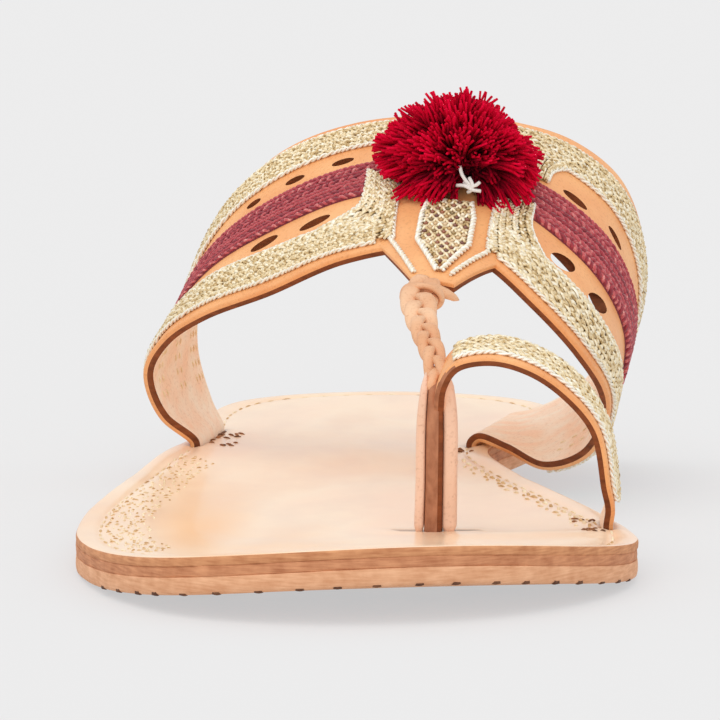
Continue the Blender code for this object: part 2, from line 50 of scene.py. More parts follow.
# %% [markdown]
# ## Camera
# The photograph looks at the toe from low down and a long way off. A camera could be guessed by eye,
# but the outline of the sole on the floor gives it closely: about a metre away and 14 cm high. The long
# lens then frames the sandal without changing the angle.

# %% Camera
CAMERA_PLACE = (0.0390, -0.9758, 0.1384)
CAMERA_AIM = (-0.0017, -0.040, 0.0310)
CAMERA_LENS = 284.0


def aim(item, target):
    """Turn a camera or a lamp so that it looks at a point."""
    reach = np.array(target) - np.array(item.location)
    item.rotation_euler = Vector(reach).to_track_quat("-Z", "Y").to_euler()


camera = bpy.data.objects.new("camera", bpy.data.cameras.new("camera"))
bpy.context.scene.collection.objects.link(camera)
camera.location = CAMERA_PLACE
camera.data.lens = CAMERA_LENS
camera.data.clip_start = 0.01
aim(camera, CAMERA_AIM)
bpy.context.scene.camera = camera

# %% [markdown]
# ## Floor and light
# The picture has a pale seamless floor, a bright white room, one broad lamp from the upper left that
# leaves a faint shadow, and a soft light from the front that reaches under the straps. Area lamps would
# fade across the floor, so both are suns with a wide angle, and the white room is the world itself,
# which also gives the glossy insole something bright to mirror. The floor glows a little like a light
# table, so the shadow under the lifted toe stays pale. Its paint is warm and its glow is cool: together
# they are white in the light, and they keep the leather's warm bounce out of the shadow. The Standard
# view keeps the reds and the tan as saturated as they are.

# %% Floor and light
FLOOR_REACH = 4.0
FLOOR_TONE = (0.41, 0.34, 0.31, 1.0)
FLOOR_GLOW_TONE = (0.78, 0.93, 1.0, 1.0)
FLOOR_GLOW = 0.50
ROOM_STRENGTH = 0.85
# name, side that the lamp shines from, strength, angle
LAMPS = (
    ("broad_lamp", (-0.30, -0.50, 1.50), 0.72, 60.0),
    ("front_lamp", (0.05, -1.00, 0.10), 0.75, 70.0),
)


def add_sun(name, location, strength, angle):
    """Broad lamp, given by the side that it shines from."""
    lamp = bpy.data.lights.new(name, "SUN")
    lamp.energy = strength
    lamp.angle = math.radians(angle)
    item = bpy.data.objects.new(name, lamp)
    bpy.context.scene.collection.objects.link(item)
    item.location = location
    aim(item, (0.0, 0.0, 0.0))


corners = [(x * FLOOR_REACH, y * FLOOR_REACH, 0.0) for x, y in ((-1, -1), (1, -1), (1, 1), (-1, 1))]
floor_mesh = bpy.data.meshes.new("floor")
floor_mesh.from_pydata(corners, [], [(0, 1, 2, 3)])
floor_paint = bpy.data.materials.new("floor_paint")
floor_paint.use_nodes = True
floor_shader = floor_paint.node_tree.nodes["Principled BSDF"]
floor_shader.inputs["Base Color"].default_value = FLOOR_TONE
floor_shader.inputs["Emission Color"].default_value = FLOOR_GLOW_TONE
floor_shader.inputs["Emission Strength"].default_value = FLOOR_GLOW
floor_shader.inputs["Roughness"].default_value = 0.95
floor_shader.inputs["Specular IOR Level"].default_value = 0.0
floor_mesh.materials.append(floor_paint)
floor = bpy.data.objects.new("floor", floor_mesh)
bpy.context.scene.collection.objects.link(floor)

room = bpy.data.worlds.new("white_room")
room.use_nodes = True
room.node_tree.nodes["Background"].inputs["Color"].default_value = (1.0, 1.0, 1.0, 1.0)
room.node_tree.nodes["Background"].inputs["Strength"].default_value = ROOM_STRENGTH
bpy.context.scene.world = room
for lamp_values in LAMPS:
    add_sun(*lamp_values)
bpy.context.scene.view_settings.view_transform = "Standard"
print("room strength", ROOM_STRENGTH, "and", len(LAMPS), "lamps")

# %% [markdown]
# ## Foot terms
# A sandal is easiest to draw as its maker sees it: medial offset towards the big toe, station from the
# back of the heel, and height from the floor, all in millimetres. One function turns such points into
# metres in the model's frame, and one smooth curve through a short table serves every strap.

# %% Foot terms
SOLE_LENGTH = 250.0
CENTRE_SHIFT = 2.6


def place(points):
    """Metres in the model's frame from points of medial offset, station and height."""
    points = np.asarray(points, dtype=float)
    across = points[..., 0] - CENTRE_SHIFT
    length = SOLE_LENGTH / 2 - points[..., 1]
    return np.stack((across, length, points[..., 2]), axis=-1) * MM


def unit(vectors):
    """Vectors of length one."""
    return vectors / np.maximum(np.linalg.norm(vectors, axis=-1, keepdims=True), 1e-9)


def smooth(rows, numbers):
    """Values on the smooth curve through a table's rows, at row numbers that may be fractions."""
    rows = np.asarray(rows, dtype=float)
    numbers = np.asarray(numbers, dtype=float)
    steps = np.linalg.norm(np.diff(rows, axis=0), axis=1) ** 0.5
    knots = np.concatenate(([0.0], np.cumsum(steps)))
    slopes = np.gradient(rows, knots, axis=0)
    first = np.clip(np.floor(numbers).astype(int), 0, len(rows) - 2)
    part = (numbers - first)[..., None]
    width = steps[first][..., None]
    square, cube = part ** 2, part ** 3
    return (
        (2 * cube - 3 * square + 1) * rows[first]
        + (cube - 2 * square + part) * width * slopes[first]
        + (3 * square - 2 * cube) * rows[first + 1]
        + (cube - square) * width * slopes[first + 1]
    )


def lengths_along(points):
    """Distance from the start at each point of a line."""
    steps = np.linalg.norm(np.diff(points, axis=-2), axis=-1)
    return np.concatenate(([0.0], np.cumsum(steps)))


def at_lengths(rows, lengths, wanted, period=None):
    """Rows of a table at wanted distances along it."""
    return np.stack([np.interp(wanted, lengths, column, period=period) for column in rows.T], axis=1)


print("heel at", place((0, 0, 0)), "and toe at", place((0, SOLE_LENGTH, 0)))

# %% [markdown]
# ## From arrays to pieces
# Thousands of threads, stitches and yarns would be slow as separate objects. Each piece is worked out as
# arrays of points and faces instead, and becomes one joined mesh. Every point also carries a number named
# tint, which its finish reads as a shade. It can be one thread a little darker than the next, or painted
# shade, such as a yarn painted dark at its root and lit at its tip, or the dark round a slit in the insole.

# %% Pieces from arrays
def joined(shapes):
    """One shape from several: points, faces and tints, with the faces numbered on."""
    points, faces, tints = [], [], []
    start = 0
    for some_points, some_faces, some_tints in shapes:
        points.append(some_points)
        faces.extend([[start + corner for corner in face] for face in some_faces])
        tints.append(np.broadcast_to(some_tints, len(some_points)))
        start += len(some_points)
    return np.concatenate(points), faces, np.concatenate(tints)


def layered(groups):
    """One shape from groups of shapes, and the number of the group of each face."""
    shapes = [joined(group) for group in groups]
    finish = np.concatenate([np.full(len(shape[1]), number) for number, shape in enumerate(shapes)])
    return joined(shapes), finish


def make_mesh(name, shape, finishes, face_finish=None):
    """Mesh in the model's frame, welded, with its faces turned outwards."""
    points, faces, tints = shape
    mesh = bpy.data.meshes.new(name)
    mesh.from_pydata(place(points).tolist(), [], faces)
    for finish in finishes:
        mesh.materials.append(finish)
    if face_finish is not None:
        mesh.polygons.foreach_set("material_index", np.asarray(face_finish, dtype=np.int32))
    shades = mesh.attributes.new("tint", "FLOAT", "POINT")
    shades.data.foreach_set("value", np.broadcast_to(tints, len(points)).astype(np.float32))
    bm = bmesh.new()
    bm.from_mesh(mesh)
    bmesh.ops.remove_doubles(bm, verts=bm.verts, dist=0.002 * MM)
    bmesh.ops.recalc_face_normals(bm, faces=bm.faces)
    bm.to_mesh(mesh)
    bm.free()
    mesh.shade_smooth()
    return mesh


def hang(piece, slot, nodes):
    """Put a piece in the scene on the sandal's root, hide the solids it stands for, and print its triangles
    and slot.
    """
    bpy.context.scene.collection.objects.link(piece)
    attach(piece, "root")
    if nodes:
        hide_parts(*nodes)
    triangles = sum(len(face.vertices) - 2 for face in piece.data.polygons)
    print(f"{piece.name}: {triangles} triangles, {slot}")
    return piece


def add_piece(name, shape, finishes, slot, nodes=(), face_finish=None):
    """Piece from a shape."""
    mesh = make_mesh(name, shape, finishes, face_finish)
    return hang(bpy.data.objects.new(name, mesh), slot, nodes)


# %% [markdown]
# ## Cords
# Laces, threads, stitches and yarns are all the same form: a small rounded section swept along a
# line. Blender's curves could do it one by one, but thousands of them are slow. This helper sweeps many
# lines of equal count at once, with the section kept upright on the surface it lies on.

# %% Cords
CORD_SIDES = 6


def cord_faces(count, steps, sides):
    """Faces of cords with a number of rings each, closed at both ends."""
    ring = np.arange(sides)
    after = (ring + 1) % sides
    cord = np.arange(count)[:, None, None] * steps
    start = (cord + np.arange(steps - 1)[None, :, None]) * sides
    walls = np.stack((start + ring, start + after, start + sides + after, start + sides + ring), axis=-1)
    first = np.arange(count)[:, None] * steps * sides + ring
    last = first + (steps - 1) * sides
    return walls.reshape(-1, 4).tolist() + first.tolist() + last.tolist()


def rounded(values, power):
    """Cosines or sines bent towards a rounded box when the power is below one."""
    return np.sign(values) * np.abs(values) ** power


def cords(paths, ups, half_width, half_height, sides=CORD_SIDES, power=1.0, tints=0.5):
    """Cords along paths of shape (cord, step, 3); half sizes may change along them."""
    count, steps = paths.shape[:2]
    forward = unit(np.gradient(paths, axis=1))
    side = unit(np.cross(forward, ups))
    above = np.cross(side, forward)
    angles = 2 * np.pi * (np.arange(sides) + 0.5) / sides
    wide = np.broadcast_to(half_width, (count, steps))[:, :, None, None]
    high = np.broadcast_to(half_height, (count, steps))[:, :, None, None]
    out = side[:, :, None] * wide * rounded(np.cos(angles), power)[:, None]
    rise = above[:, :, None] * high * rounded(np.sin(angles), power)[:, None]
    points = paths[:, :, None] + out + rise
    tints = np.asarray(tints, dtype=float)
    if tints.ndim == 1:
        tints = tints[:, None]
    shades = np.broadcast_to(tints, (count, steps))[:, :, None]
    shades = np.broadcast_to(shades, points.shape[:3])
    return points.reshape(-1, 3), cord_faces(count, steps, sides), shades.reshape(-1)


print("faces of the shortest cord:", len(cord_faces(1, 2, CORD_SIDES)))

# %% [markdown]
# ## Finishes
# Each finish is a small network of nodes on one Principled shader. Colour clouds come from a broad noise,
# pores and fibres from a fine noise through Bump, and numbers that are the same everywhere are typed into the
# shader's own sockets. Colours are read from the picture as 0 to 255 and turned into the linear values that
# Blender works in.

# %% Node helpers
def paint(red, green, blue):
    """Linear colour from screen values of 0 to 255."""
    screen = np.array((red, green, blue)) / 255.0
    linear = np.where(screen <= 0.04045, screen / 12.92, ((screen + 0.055) / 1.055) ** 2.4)
    return (*linear.tolist(), 1.0)


def new_finish(name, sockets):
    """Material with its shader's plain values set; returns it with its node tree and shader."""
    material = bpy.data.materials.new(name)
    material.use_nodes = True
    shader = material.node_tree.nodes["Principled BSDF"]
    for socket, value in sockets.items():
        shader.inputs[socket].default_value = value
    return material, material.node_tree, shader


def add_node(tree, kind, inputs, **settings):
    """Node whose inputs are either values or the outputs of other nodes."""
    made = tree.nodes.new(kind)
    for setting, value in settings.items():
        setattr(made, setting, value)
    for socket, value in inputs.items():
        if isinstance(value, bpy.types.NodeSocket):
            tree.links.new(value, made.inputs[socket])
        else:
            made.inputs[socket].default_value = value
    return made


def noise(tree, size, stretch=(1.0, 1.0, 1.0), detail=3.0, seat="Object"):
    """Noise with features of about a size in millimetres, stretched along the axes."""
    where = add_node(tree, "ShaderNodeTexCoord", {}).outputs[seat]
    scale = [1.0 / (size * MM * part) for part in stretch]
    moved = add_node(tree, "ShaderNodeMapping", {"Vector": where, "Scale": scale})
    sockets = {"Vector": moved.outputs["Vector"], "Scale": 1.0, "Detail": detail}
    return add_node(tree, "ShaderNodeTexNoise", sockets).outputs["Fac"]


def tint(tree):
    """The shade number that a piece's points carry."""
    return add_node(tree, "ShaderNodeAttribute", {}, attribute_name="tint").outputs["Fac"]


def ramp(tree, factor, stops):
    """Colour that runs through stops of place and colour."""
    made = add_node(tree, "ShaderNodeValToRGB", {"Fac": factor})
    bar = made.color_ramp.elements
    while len(bar) < len(stops):
        bar.new(0.5)
    for stop, (where, colour) in zip(bar, stops):
        stop.position = where
        stop.color = colour
    return made.outputs["Color"]


def mix(tree, factor, first, second, blend="MIX"):
    """Blend of two colours; the Mix node keeps its colours in sockets 6 and 7."""
    sockets = {0: factor, 6: first, 7: second}
    return add_node(tree, "ShaderNodeMix", sockets, data_type="RGBA", blend_type=blend).outputs[2]


def combine(tree, operation, *values):
    """Sum, product or other arithmetic of numbers."""
    return add_node(tree, "ShaderNodeMath", dict(enumerate(values)), operation=operation).outputs[0]


def dress(tree, shader, colour, height=None, depth=0.1, roughness=None):
    """Connect a colour, a bump of some depth in millimetres and a roughness to the shader."""
    tree.links.new(colour, shader.inputs["Base Color"])
    if roughness is not None:
        tree.links.new(roughness, shader.inputs["Roughness"])
    if height is not None:
        bump = add_node(tree, "ShaderNodeBump", {"Height": height, "Strength": 1.0, "Distance": depth * MM})
        tree.links.new(bump.outputs["Normal"], shader.inputs["Normal"])


print("node helpers ready")

# %% [markdown]
# ## Leather finishes
# Vegetable-tanned leather is warm and slightly blotchy, with fine pores on its smooth side, a nap on
# its flesh side, and darker fibres where it is cut. One recipe with other colours and depths serves the
# band, its lining and the laces. A second serves the cut edges and the layers of the sole: it has
# streaks that run along the cut, so its noise is stretched.

# %% Leather finishes
def clouded(tree, factor, deep, pale):
    """Two tones of leather, spread by a noise."""
    return ramp(tree, factor, ((0.34, deep), (0.66, pale)))


def leather(name, pale, deep, roughness, pore_depth, coat=0.0, cloud_size=14.0):
    """Smooth leather with soft blotches and pores."""
    sockets = {"Coat Weight": coat, "Coat Roughness": 0.22, "Specular IOR Level": 0.4}
    material, tree, shader = new_finish(name, sockets)
    cloud = noise(tree, cloud_size, detail=4.0)
    pores = noise(tree, 0.55, detail=4.0)
    colour = clouded(tree, cloud, deep, pale)
    speck = ramp(tree, pores, ((0.28, paint(206, 186, 168)), (0.46, paint(255, 255, 255))))
    colour = mix(tree, 0.4, colour, speck, "MULTIPLY")
    worn = combine(tree, "MULTIPLY_ADD", cloud, 0.25, roughness - 0.12)
    dress(tree, shader, colour, pores, pore_depth, worn)
    return material


def cut_leather(name, pale, deep, stretch, depth=0.10):
    """Raw edge of leather, with fibres in broken streaks."""
    material, tree, shader = new_finish(name, {"Roughness": 0.72, "Specular IOR Level": 0.25})
    streak = combine(tree, "MULTIPLY", noise(tree, 1.0, stretch, 5.0), 0.55)
    patch = combine(tree, "MULTIPLY", noise(tree, 2.6, detail=3.0), 0.45)
    fibre = combine(tree, "MULTIPLY", noise(tree, 0.35, detail=3.0), 0.5)
    colour = clouded(tree, combine(tree, "ADD", streak, patch), deep, pale)
    dress(tree, shader, colour, combine(tree, "ADD", streak, fibre), depth)
    return material


FLAT_STREAKS = (3.6, 3.6, 0.34)
band_leather = leather("band_leather", paint(247, 184, 124), paint(234, 158, 98), 0.50, 0.04, 0.10)
lace_leather = leather("lace_leather", paint(240, 196, 158), paint(220, 160, 116), 0.55, 0.05)
lining_leather = leather(
    "lining_leather", paint(255, 240, 222), paint(255, 220, 192), 0.85, 0.12, cloud_size=6.0)
anchor_leather = leather("anchor_leather", paint(128, 72, 44), paint(92, 48, 28), 0.75, 0.08)
cut_edge = cut_leather("cut_edge", paint(146, 80, 44), paint(104, 54, 28), (3.0, 3.0, 0.8))
outsole_leather = cut_leather("outsole_leather", paint(236, 182, 142), paint(206, 146, 106), FLAT_STREAKS)
midsole_leather = cut_leather("midsole_leather", paint(218, 154, 112), paint(176, 112, 76), FLAT_STREAKS)
insole_edge = cut_leather("insole_edge", paint(222, 160, 114), paint(180, 116, 76), FLAT_STREAKS)
print("leather finishes:", len([m for m in bpy.data.materials if "leather" in m.name or "edge" in m.name]))

# %% [markdown]
# ## The sole's outline
# The sole of a right-foot sandal is nearly straight at the heel, pinched at the arch and widest at the
# big toe's joint. The outline is one closed smooth curve through a short table, spaced evenly round
# the edge, so that layers, grooves and rows of stitches can all be laid at a distance inside it. The
# toe lifts a little off the floor, and more on the big toe's side.

# %% Sole outline
# station, lateral edge, medial edge
SOLE_OUTLINE = np.array((
    (5.0, -17.5, 17.5),
    (16.0, -28.3, 28.3),
    (34.0, -33.0, 33.0),
    (60.0, -33.5, 27.8),
    (80.0, -34.8, 22.4),
    (98.0, -37.2, 21.0),
    (120.0, -40.2, 26.8),
    (148.0, -43.0, 35.5),
    (176.0, -44.5, 43.4),
    (198.0, -43.4, 47.0),
    (216.0, -39.2, 44.2),
    (230.0, -33.2, 36.8),
    (241.0, -25.2, 26.5),
    (247.5, -14.5, 14.0),
))
OUTLINE_COUNT = 640        # points round the edge
TRACE = 4000               # samples that the even spacing is measured on
WRAP = 3                   # corners repeated past the seam of the closed curve
TOE_SPRING = 5.8
SPRING_START = 186.0
SPRING_TWIST = 0.010
ARCH_LIFT = 0.8
ARCH_RANGE = (70.0, 126.0)


def closed_outline():
    """Even points round the sole's edge, the way inwards at each, and the distance round to it."""
    lateral = SOLE_OUTLINE[:, [1, 0]].tolist()
    medial = SOLE_OUTLINE[::-1, [2, 0]].tolist()
    corners = [[0.0, 0.0], *lateral, [0.0, SOLE_LENGTH], *medial]
    closed = corners[-WRAP:] + corners + corners[:WRAP + 1]
    dense = smooth(closed, np.linspace(WRAP, WRAP + len(corners), TRACE))
    lengths = lengths_along(dense)
    even = np.linspace(0.0, lengths[-1], OUTLINE_COUNT, endpoint=False)
    ring = at_lengths(dense, lengths, even)
    run = np.roll(ring, -1, axis=0) - np.roll(ring, 1, axis=0)
    return ring, unit(np.stack((run[:, 1], -run[:, 0]), axis=1)), even, lengths[-1]


def sole_lift(medial, station):
    """Height of the sole's bottom above the floor: toe spring and arch."""
    share = np.maximum(station - SPRING_START, 0.0) / (SOLE_LENGTH - SPRING_START)
    spring = TOE_SPRING * share ** 2 * (1.0 + SPRING_TWIST * medial)
    arch = np.clip((station - ARCH_RANGE[0]) / (ARCH_RANGE[1] - ARCH_RANGE[0]), 0.0, 1.0)
    return spring + ARCH_LIFT * np.sin(np.pi * arch) ** 2


edge_ring, edge_inward, edge_lengths, perimeter = closed_outline()
toe_index = int(np.argmax(edge_ring[:, 1]))
print("round the sole:", round(perimeter, 1), "mm")

# %% [markdown]
# ## Layers
# Each layer could be an extruded outline with a bevel, but hand-cut leather wobbles and the insole has
# grooves, hollows and puckers. So a layer is a stack of rings: from the middle of its underside out to
# the edge, up the rounded edge, and back to a line along the middle of the top. Both sides share the
# points of that line, so the mesh welds shut.

# %% Layer helper
SPINE_RANGE = (36.0, 212.0)
SPINE_STEP = 2.0
SKIRT = 12.0               # width of the rim that follows the outline
CORNER = 0.27              # inset in the middle of an eased corner, as a share of its reach


def spine_points():
    """Points of the sole's middle line, one for each point of the edge."""
    station = np.clip(np.round(edge_ring[:, 1] / SPINE_STEP) * SPINE_STEP, *SPINE_RANGE)
    middle = np.interp(station, SOLE_OUTLINE[:, 0], SOLE_OUTLINE[:, 1:].mean(axis=1))
    return np.stack((middle, station), axis=1)


def ripple(seed, amount, slowest=5, fastest=70):
    """Uneven wobble of a hand-cut edge, in millimetres, round the outline."""
    rng = np.random.default_rng(seed)
    waves = np.arange(slowest, fastest)[:, None]
    turn = 2 * np.pi * np.arange(OUTLINE_COUNT) / OUTLINE_COUNT
    heights = rng.normal(size=(len(waves), 1)) / waves ** 0.5
    wave = np.sum(heights * np.cos(waves * turn + rng.uniform(0, 2 * np.pi, (len(waves), 1))), axis=0)
    return amount * wave / np.max(np.abs(wave))


def level_plan(inset):
    """Outline at a distance inside the edge; past the skirt it shrinks to the middle line."""
    inset = np.broadcast_to(np.asarray(inset, dtype=float), OUTLINE_COUNT)[:, None]
    rim = edge_ring + edge_inward * np.minimum(inset, SKIRT)
    part = np.clip((inset - SKIRT) / SKIRT, 0.0, 1.0)
    return rim + (spine_points() - rim) * part


def layer_ring(inset, height, relief=None):
    """Ring of points of a layer at an inset from the edge and a height above the lifted sole."""
    plan = level_plan(inset)
    rise = 0.0 if relief is None else relief(plan, inset)
    return np.column_stack((plan, height + rise + sole_lift(plan[:, 0], plan[:, 1])))


def layer_faces(ring_count):
    """Faces between rings that follow each other: those of one thick cord without its two ends."""
    return cord_faces(1, ring_count, OUTLINE_COUNT)[:-2]


def edge_profile(low, high):
    """Inset and share of the height up a layer's edge, with its lower and upper corner eased."""
    under = ((low, 0.0), (CORNER * low, 0.1), (0.0, 0.3))
    over = ((0.0, 0.7), (CORNER * high, 0.9), (high, 1.0))
    return (*under, (-0.03, 0.5), *over)


def layer_rings(bottom, thick, inset, seed, corners, under, over, under_relief=None, over_relief=None):
    """Rings of one layer: insets on its underside, its eased edge, and insets on its top."""
    wobble = ripple(seed, 0.16)
    rings = [layer_ring(extra, bottom, under_relief) for extra in under]
    for extra, share in edge_profile(*corners):
        rings.append(layer_ring(inset + extra + wobble, bottom + share * thick))
    rings += [layer_ring(extra, bottom + thick, over_relief) for extra in over]
    return rings


print("middle line:", len(np.unique(spine_points()[:, 1])), "points")

# %% [markdown]
# ## Outsole and midsole
# The outsole is the thick bottom leather, sewn through along a sunk groove; the midsole only shows as
# a darker streak in the edge. The solids keep a hair of air between the layers, which a maker would
# glue shut, so here each layer grows by half of it and the seams close to thin lines. The groove is
# real relief, because the sole is seen from below when the sandal is lifted.

# %% Outsole and midsole
GLUE = 0.15                # half of the air between the solids of two layers
OUTSOLE_THICK = 2.6
MIDSOLE_BOTTOM = 2.9
MIDSOLE_THICK = 1.4
GROOVE_INSET = 3.6
GROOVE_DEPTH = 0.6
COARSE_INSETS = (2.0 * SKIRT, 1.5 * SKIRT, SKIRT, 4.0)
GROOVED_INSETS = (
    2.0 * SKIRT, 1.75 * SKIRT, 1.5 * SKIRT, 1.25 * SKIRT, SKIRT, 8.0, 5.6, 4.8, 4.2, 3.6, 3.0, 2.4, 1.4)


def bell(distance, width):
    """Soft bump: one in the middle, gone at about twice the width."""
    return np.exp(-(distance / width) ** 2)


def outsole_groove(_plan, inset):
    """Sunk line that takes the sewing thread under the sole."""
    return GROOVE_DEPTH * bell(inset - GROOVE_INSET, 0.7)


outsole_rings = layer_rings(
    0.0, OUTSOLE_THICK + GLUE, 0.0, 11, (0.5, 0.1), GROOVED_INSETS, COARSE_INSETS[::-1], outsole_groove)
outsole_shape = (np.concatenate(outsole_rings), layer_faces(len(outsole_rings)), 0.5)
add_piece("outsole_layer", outsole_shape, [outsole_leather], "sole_leather", ["outsole"])

midsole_rings = layer_rings(
    MIDSOLE_BOTTOM - GLUE, MIDSOLE_THICK + 2 * GLUE, 0.12, 12, (0.1, 0.1), COARSE_INSETS, COARSE_INSETS[::-1])
midsole_shape = (np.concatenate(midsole_rings), layer_faces(len(midsole_rings)), 0.5)
add_piece("midsole_layer", midsole_shape, [midsole_leather], "filler_leather", ["midsole"])

# %% [markdown]
# ## Insole
# The insole is polished and a little uneven: hollows under the heel and the ball of the foot, a stitched
# groove near the edge, a ridge where the toe loop pulls the leather up, and puckers round the slits that take
# the straps. These creases are placed one by one as soft bells in the rings. The shade inside and round the
# slits is painted into the leather's colour, which the tint carries.

# %% Insole finish
def spot(tree, centre, reach):
    """Factor that is one at a point given in foot terms and fades out over a reach along each axis."""
    where = add_node(tree, "ShaderNodeTexCoord", {}).outputs["Object"]
    scale = [1.0 / (part * MM) for part in reach]
    shift = [-at * part for at, part in zip(place(centre), scale)]
    moved = add_node(tree, "ShaderNodeMapping", {"Vector": where, "Scale": scale, "Location": shift})
    far = add_node(tree, "ShaderNodeVectorMath", {0: moved.outputs["Vector"]}, operation="LENGTH")
    sockets = {"Value": far.outputs["Value"], "To Min": 1.0, "To Max": 0.0}
    return add_node(tree, "ShaderNodeMapRange", sockets, interpolation_type="SMOOTHSTEP").outputs["Result"]


def insole_finish():
    """Polished pale leather in soft clouds, tanned darker by the ball of the foot, with painted shade round
    the slits.
    """
    sockets = {"Coat Weight": 0.40, "Coat Roughness": 0.16, "Specular IOR Level": 0.5}
    material, tree, shader = new_finish("insole_leather", sockets)
    cloud = noise(tree, 46.0, (0.8, 1.6, 1.0), 3.0)
    pores = noise(tree, 0.6, detail=4.0)
    hand = noise(tree, 9.0, (1.0, 1.8, 1.0), 4.0)
    stops = ((0.32, paint(254, 210, 166)), (0.50, paint(255, 226, 193)), (0.68, paint(255, 216, 184)))
    rubbed = ramp(tree, hand, ((0.34, paint(238, 220, 206)), (0.58, paint(255, 255, 255))))
    colour = mix(tree, 0.35, ramp(tree, cloud, stops), rubbed, "MULTIPLY")
    tan = combine(tree, "MULTIPLY", spot(tree, (-23.0, 186.0, 7.0), (10.0, 52.0, 30.0)), 0.9)
    colour = mix(tree, tan, colour, paint(252, 192, 128))
    # painted shade in and round the slits, carried by the tint
    colour = mix(tree, tint(tree), colour, paint(96, 50, 28))
    shine = combine(tree, "MULTIPLY_ADD", hand, 0.30, 0.22)
    height = combine(tree, "ADD", hand, combine(tree, "MULTIPLY", pores, 0.12))
    dress(tree, shader, colour, height, 0.14, shine)
    return material


insole_leather = insole_finish()
print("finish:", insole_leather.name)

# %% Insole
INSOLE_BOTTOM = 4.6
INSOLE_THICK = 1.4
INSOLE_TOP = INSOLE_BOTTOM + INSOLE_THICK
RIM_INSETS = (1.0, 1.7, 2.4, 3.0, 3.5, 4.0, 4.5, 5.0, 5.8, 6.8, 8.0, 9.3, 10.6, SKIRT)
MIDDLE_RINGS = 22
# inset, width and height of the stitched groove and of the rolled rim
RIM_RELIEF = ((4.0, 0.75, -0.30), (2.0, 1.2, 0.10))
LOOP_RIDGE = ((20.0, 197.0), (41.0, 193.0))
RIDGE_WIDTH = 4.5
RIDGE_HEIGHT = 0.75
PUCKER_WIDTH = 3.2         # reach of the swelling round a slit
PUCKER_HEIGHT = 0.35
SLIT_SINK = 0.45           # how deep the leather dips into a slit
# medial and station of both ends of each slit, and the reach of its painted shade
SLITS = (
    ((-29.5, 62.0), (-32.2, 90.0), 1.3),
    ((23.4, 55.0), (17.6, 88.0), 1.3),
    ((41.6, 178.6), (42.2, 189.4), 1.2),
    ((8.2, 188.6), (20.2, 188.8), 0.9),
)
# hollows and swellings of the footbed: medial, station, reach, height
HOLLOWS = (
    (0.0, 38.0, 24.0, -0.55),
    (-4.0, 172.0, 30.0, -0.45),
    (30.0, 214.0, 14.0, -0.35),
    (-34.0, 176.0, 14.0, 0.30),
    (2.0, 226.0, 16.0, 0.30),
)


def line_distance(plan, start, end):
    """Distance of points of medial offset and station from a straight line."""
    start, end = np.array(start), np.array(end)
    run = end - start
    part = np.clip((plan - start) @ run / (run @ run), 0.0, 1.0)
    return np.linalg.norm(plan - start - part[..., None] * run, axis=-1)


def insole_relief(plan, inset):
    """Height that the footbed stands above or below its plain level."""
    rise = sum(height * bell(inset - at, width) for at, width, height in RIM_RELIEF)
    rise = rise + RIDGE_HEIGHT * bell(line_distance(plan, *LOOP_RIDGE), RIDGE_WIDTH)
    for medial, station, reach, height in HOLLOWS:
        rise = rise + height * bell(np.hypot(plan[..., 0] - medial, plan[..., 1] - station), reach)
    for start, end, reach in SLITS:
        gap = line_distance(plan, start, end)
        rise = rise + PUCKER_HEIGHT * bell(gap, PUCKER_WIDTH) - SLIT_SINK * bell(gap, reach)
    return rise


def insole_height(plan, inset=SKIRT):
    """Height of the footbed at points of medial offset and station."""
    return INSOLE_TOP + sole_lift(plan[..., 0], plan[..., 1]) + insole_relief(plan, inset)


def painted_slit_shade(plan):
    """Painted shade of the footbed round its slits."""
    return np.max([bell(line_distance(plan, *slit[:2]), slit[2]) for slit in SLITS], axis=0)


insole_insets = (*RIM_INSETS, *np.linspace(SKIRT, 2 * SKIRT, MIDDLE_RINGS + 1)[1:])
insole_rings = layer_rings(
    INSOLE_BOTTOM - GLUE, INSOLE_THICK + GLUE, 0.05, 13, (0.1, 0.5),
    COARSE_INSETS, insole_insets, over_relief=insole_relief)
top_start = len(COARSE_INSETS) + len(edge_profile(0.0, 0.0)) - 2
insole_points = np.concatenate(insole_rings)
insole_painted_shade = painted_slit_shade(insole_points[:, :2])
insole_painted_shade[:(top_start + 1) * OUTLINE_COUNT] = 0.0
insole_quads = layer_faces(len(insole_rings))
on_top = np.arange(len(insole_quads)) // OUTLINE_COUNT >= top_start
insole_shape = (insole_points, insole_quads, insole_painted_shade)
insole_finishes = [insole_edge, insole_leather]
add_piece("insole_layer", insole_shape, insole_finishes, "insole_leather", ["insole"], on_top.astype(int))

# %% [markdown]
# ## Strap surfaces
# The band over the instep and the loop round the big toe are bent sheets. A short table gives the back
# edge and the front edge of each at a few sections, and the sheet between them is ruled straight
# across. Everything that lies on a strap, from braid to pompom, is placed by section number, share of
# the width, and height above the leather, so it follows the bend by itself.

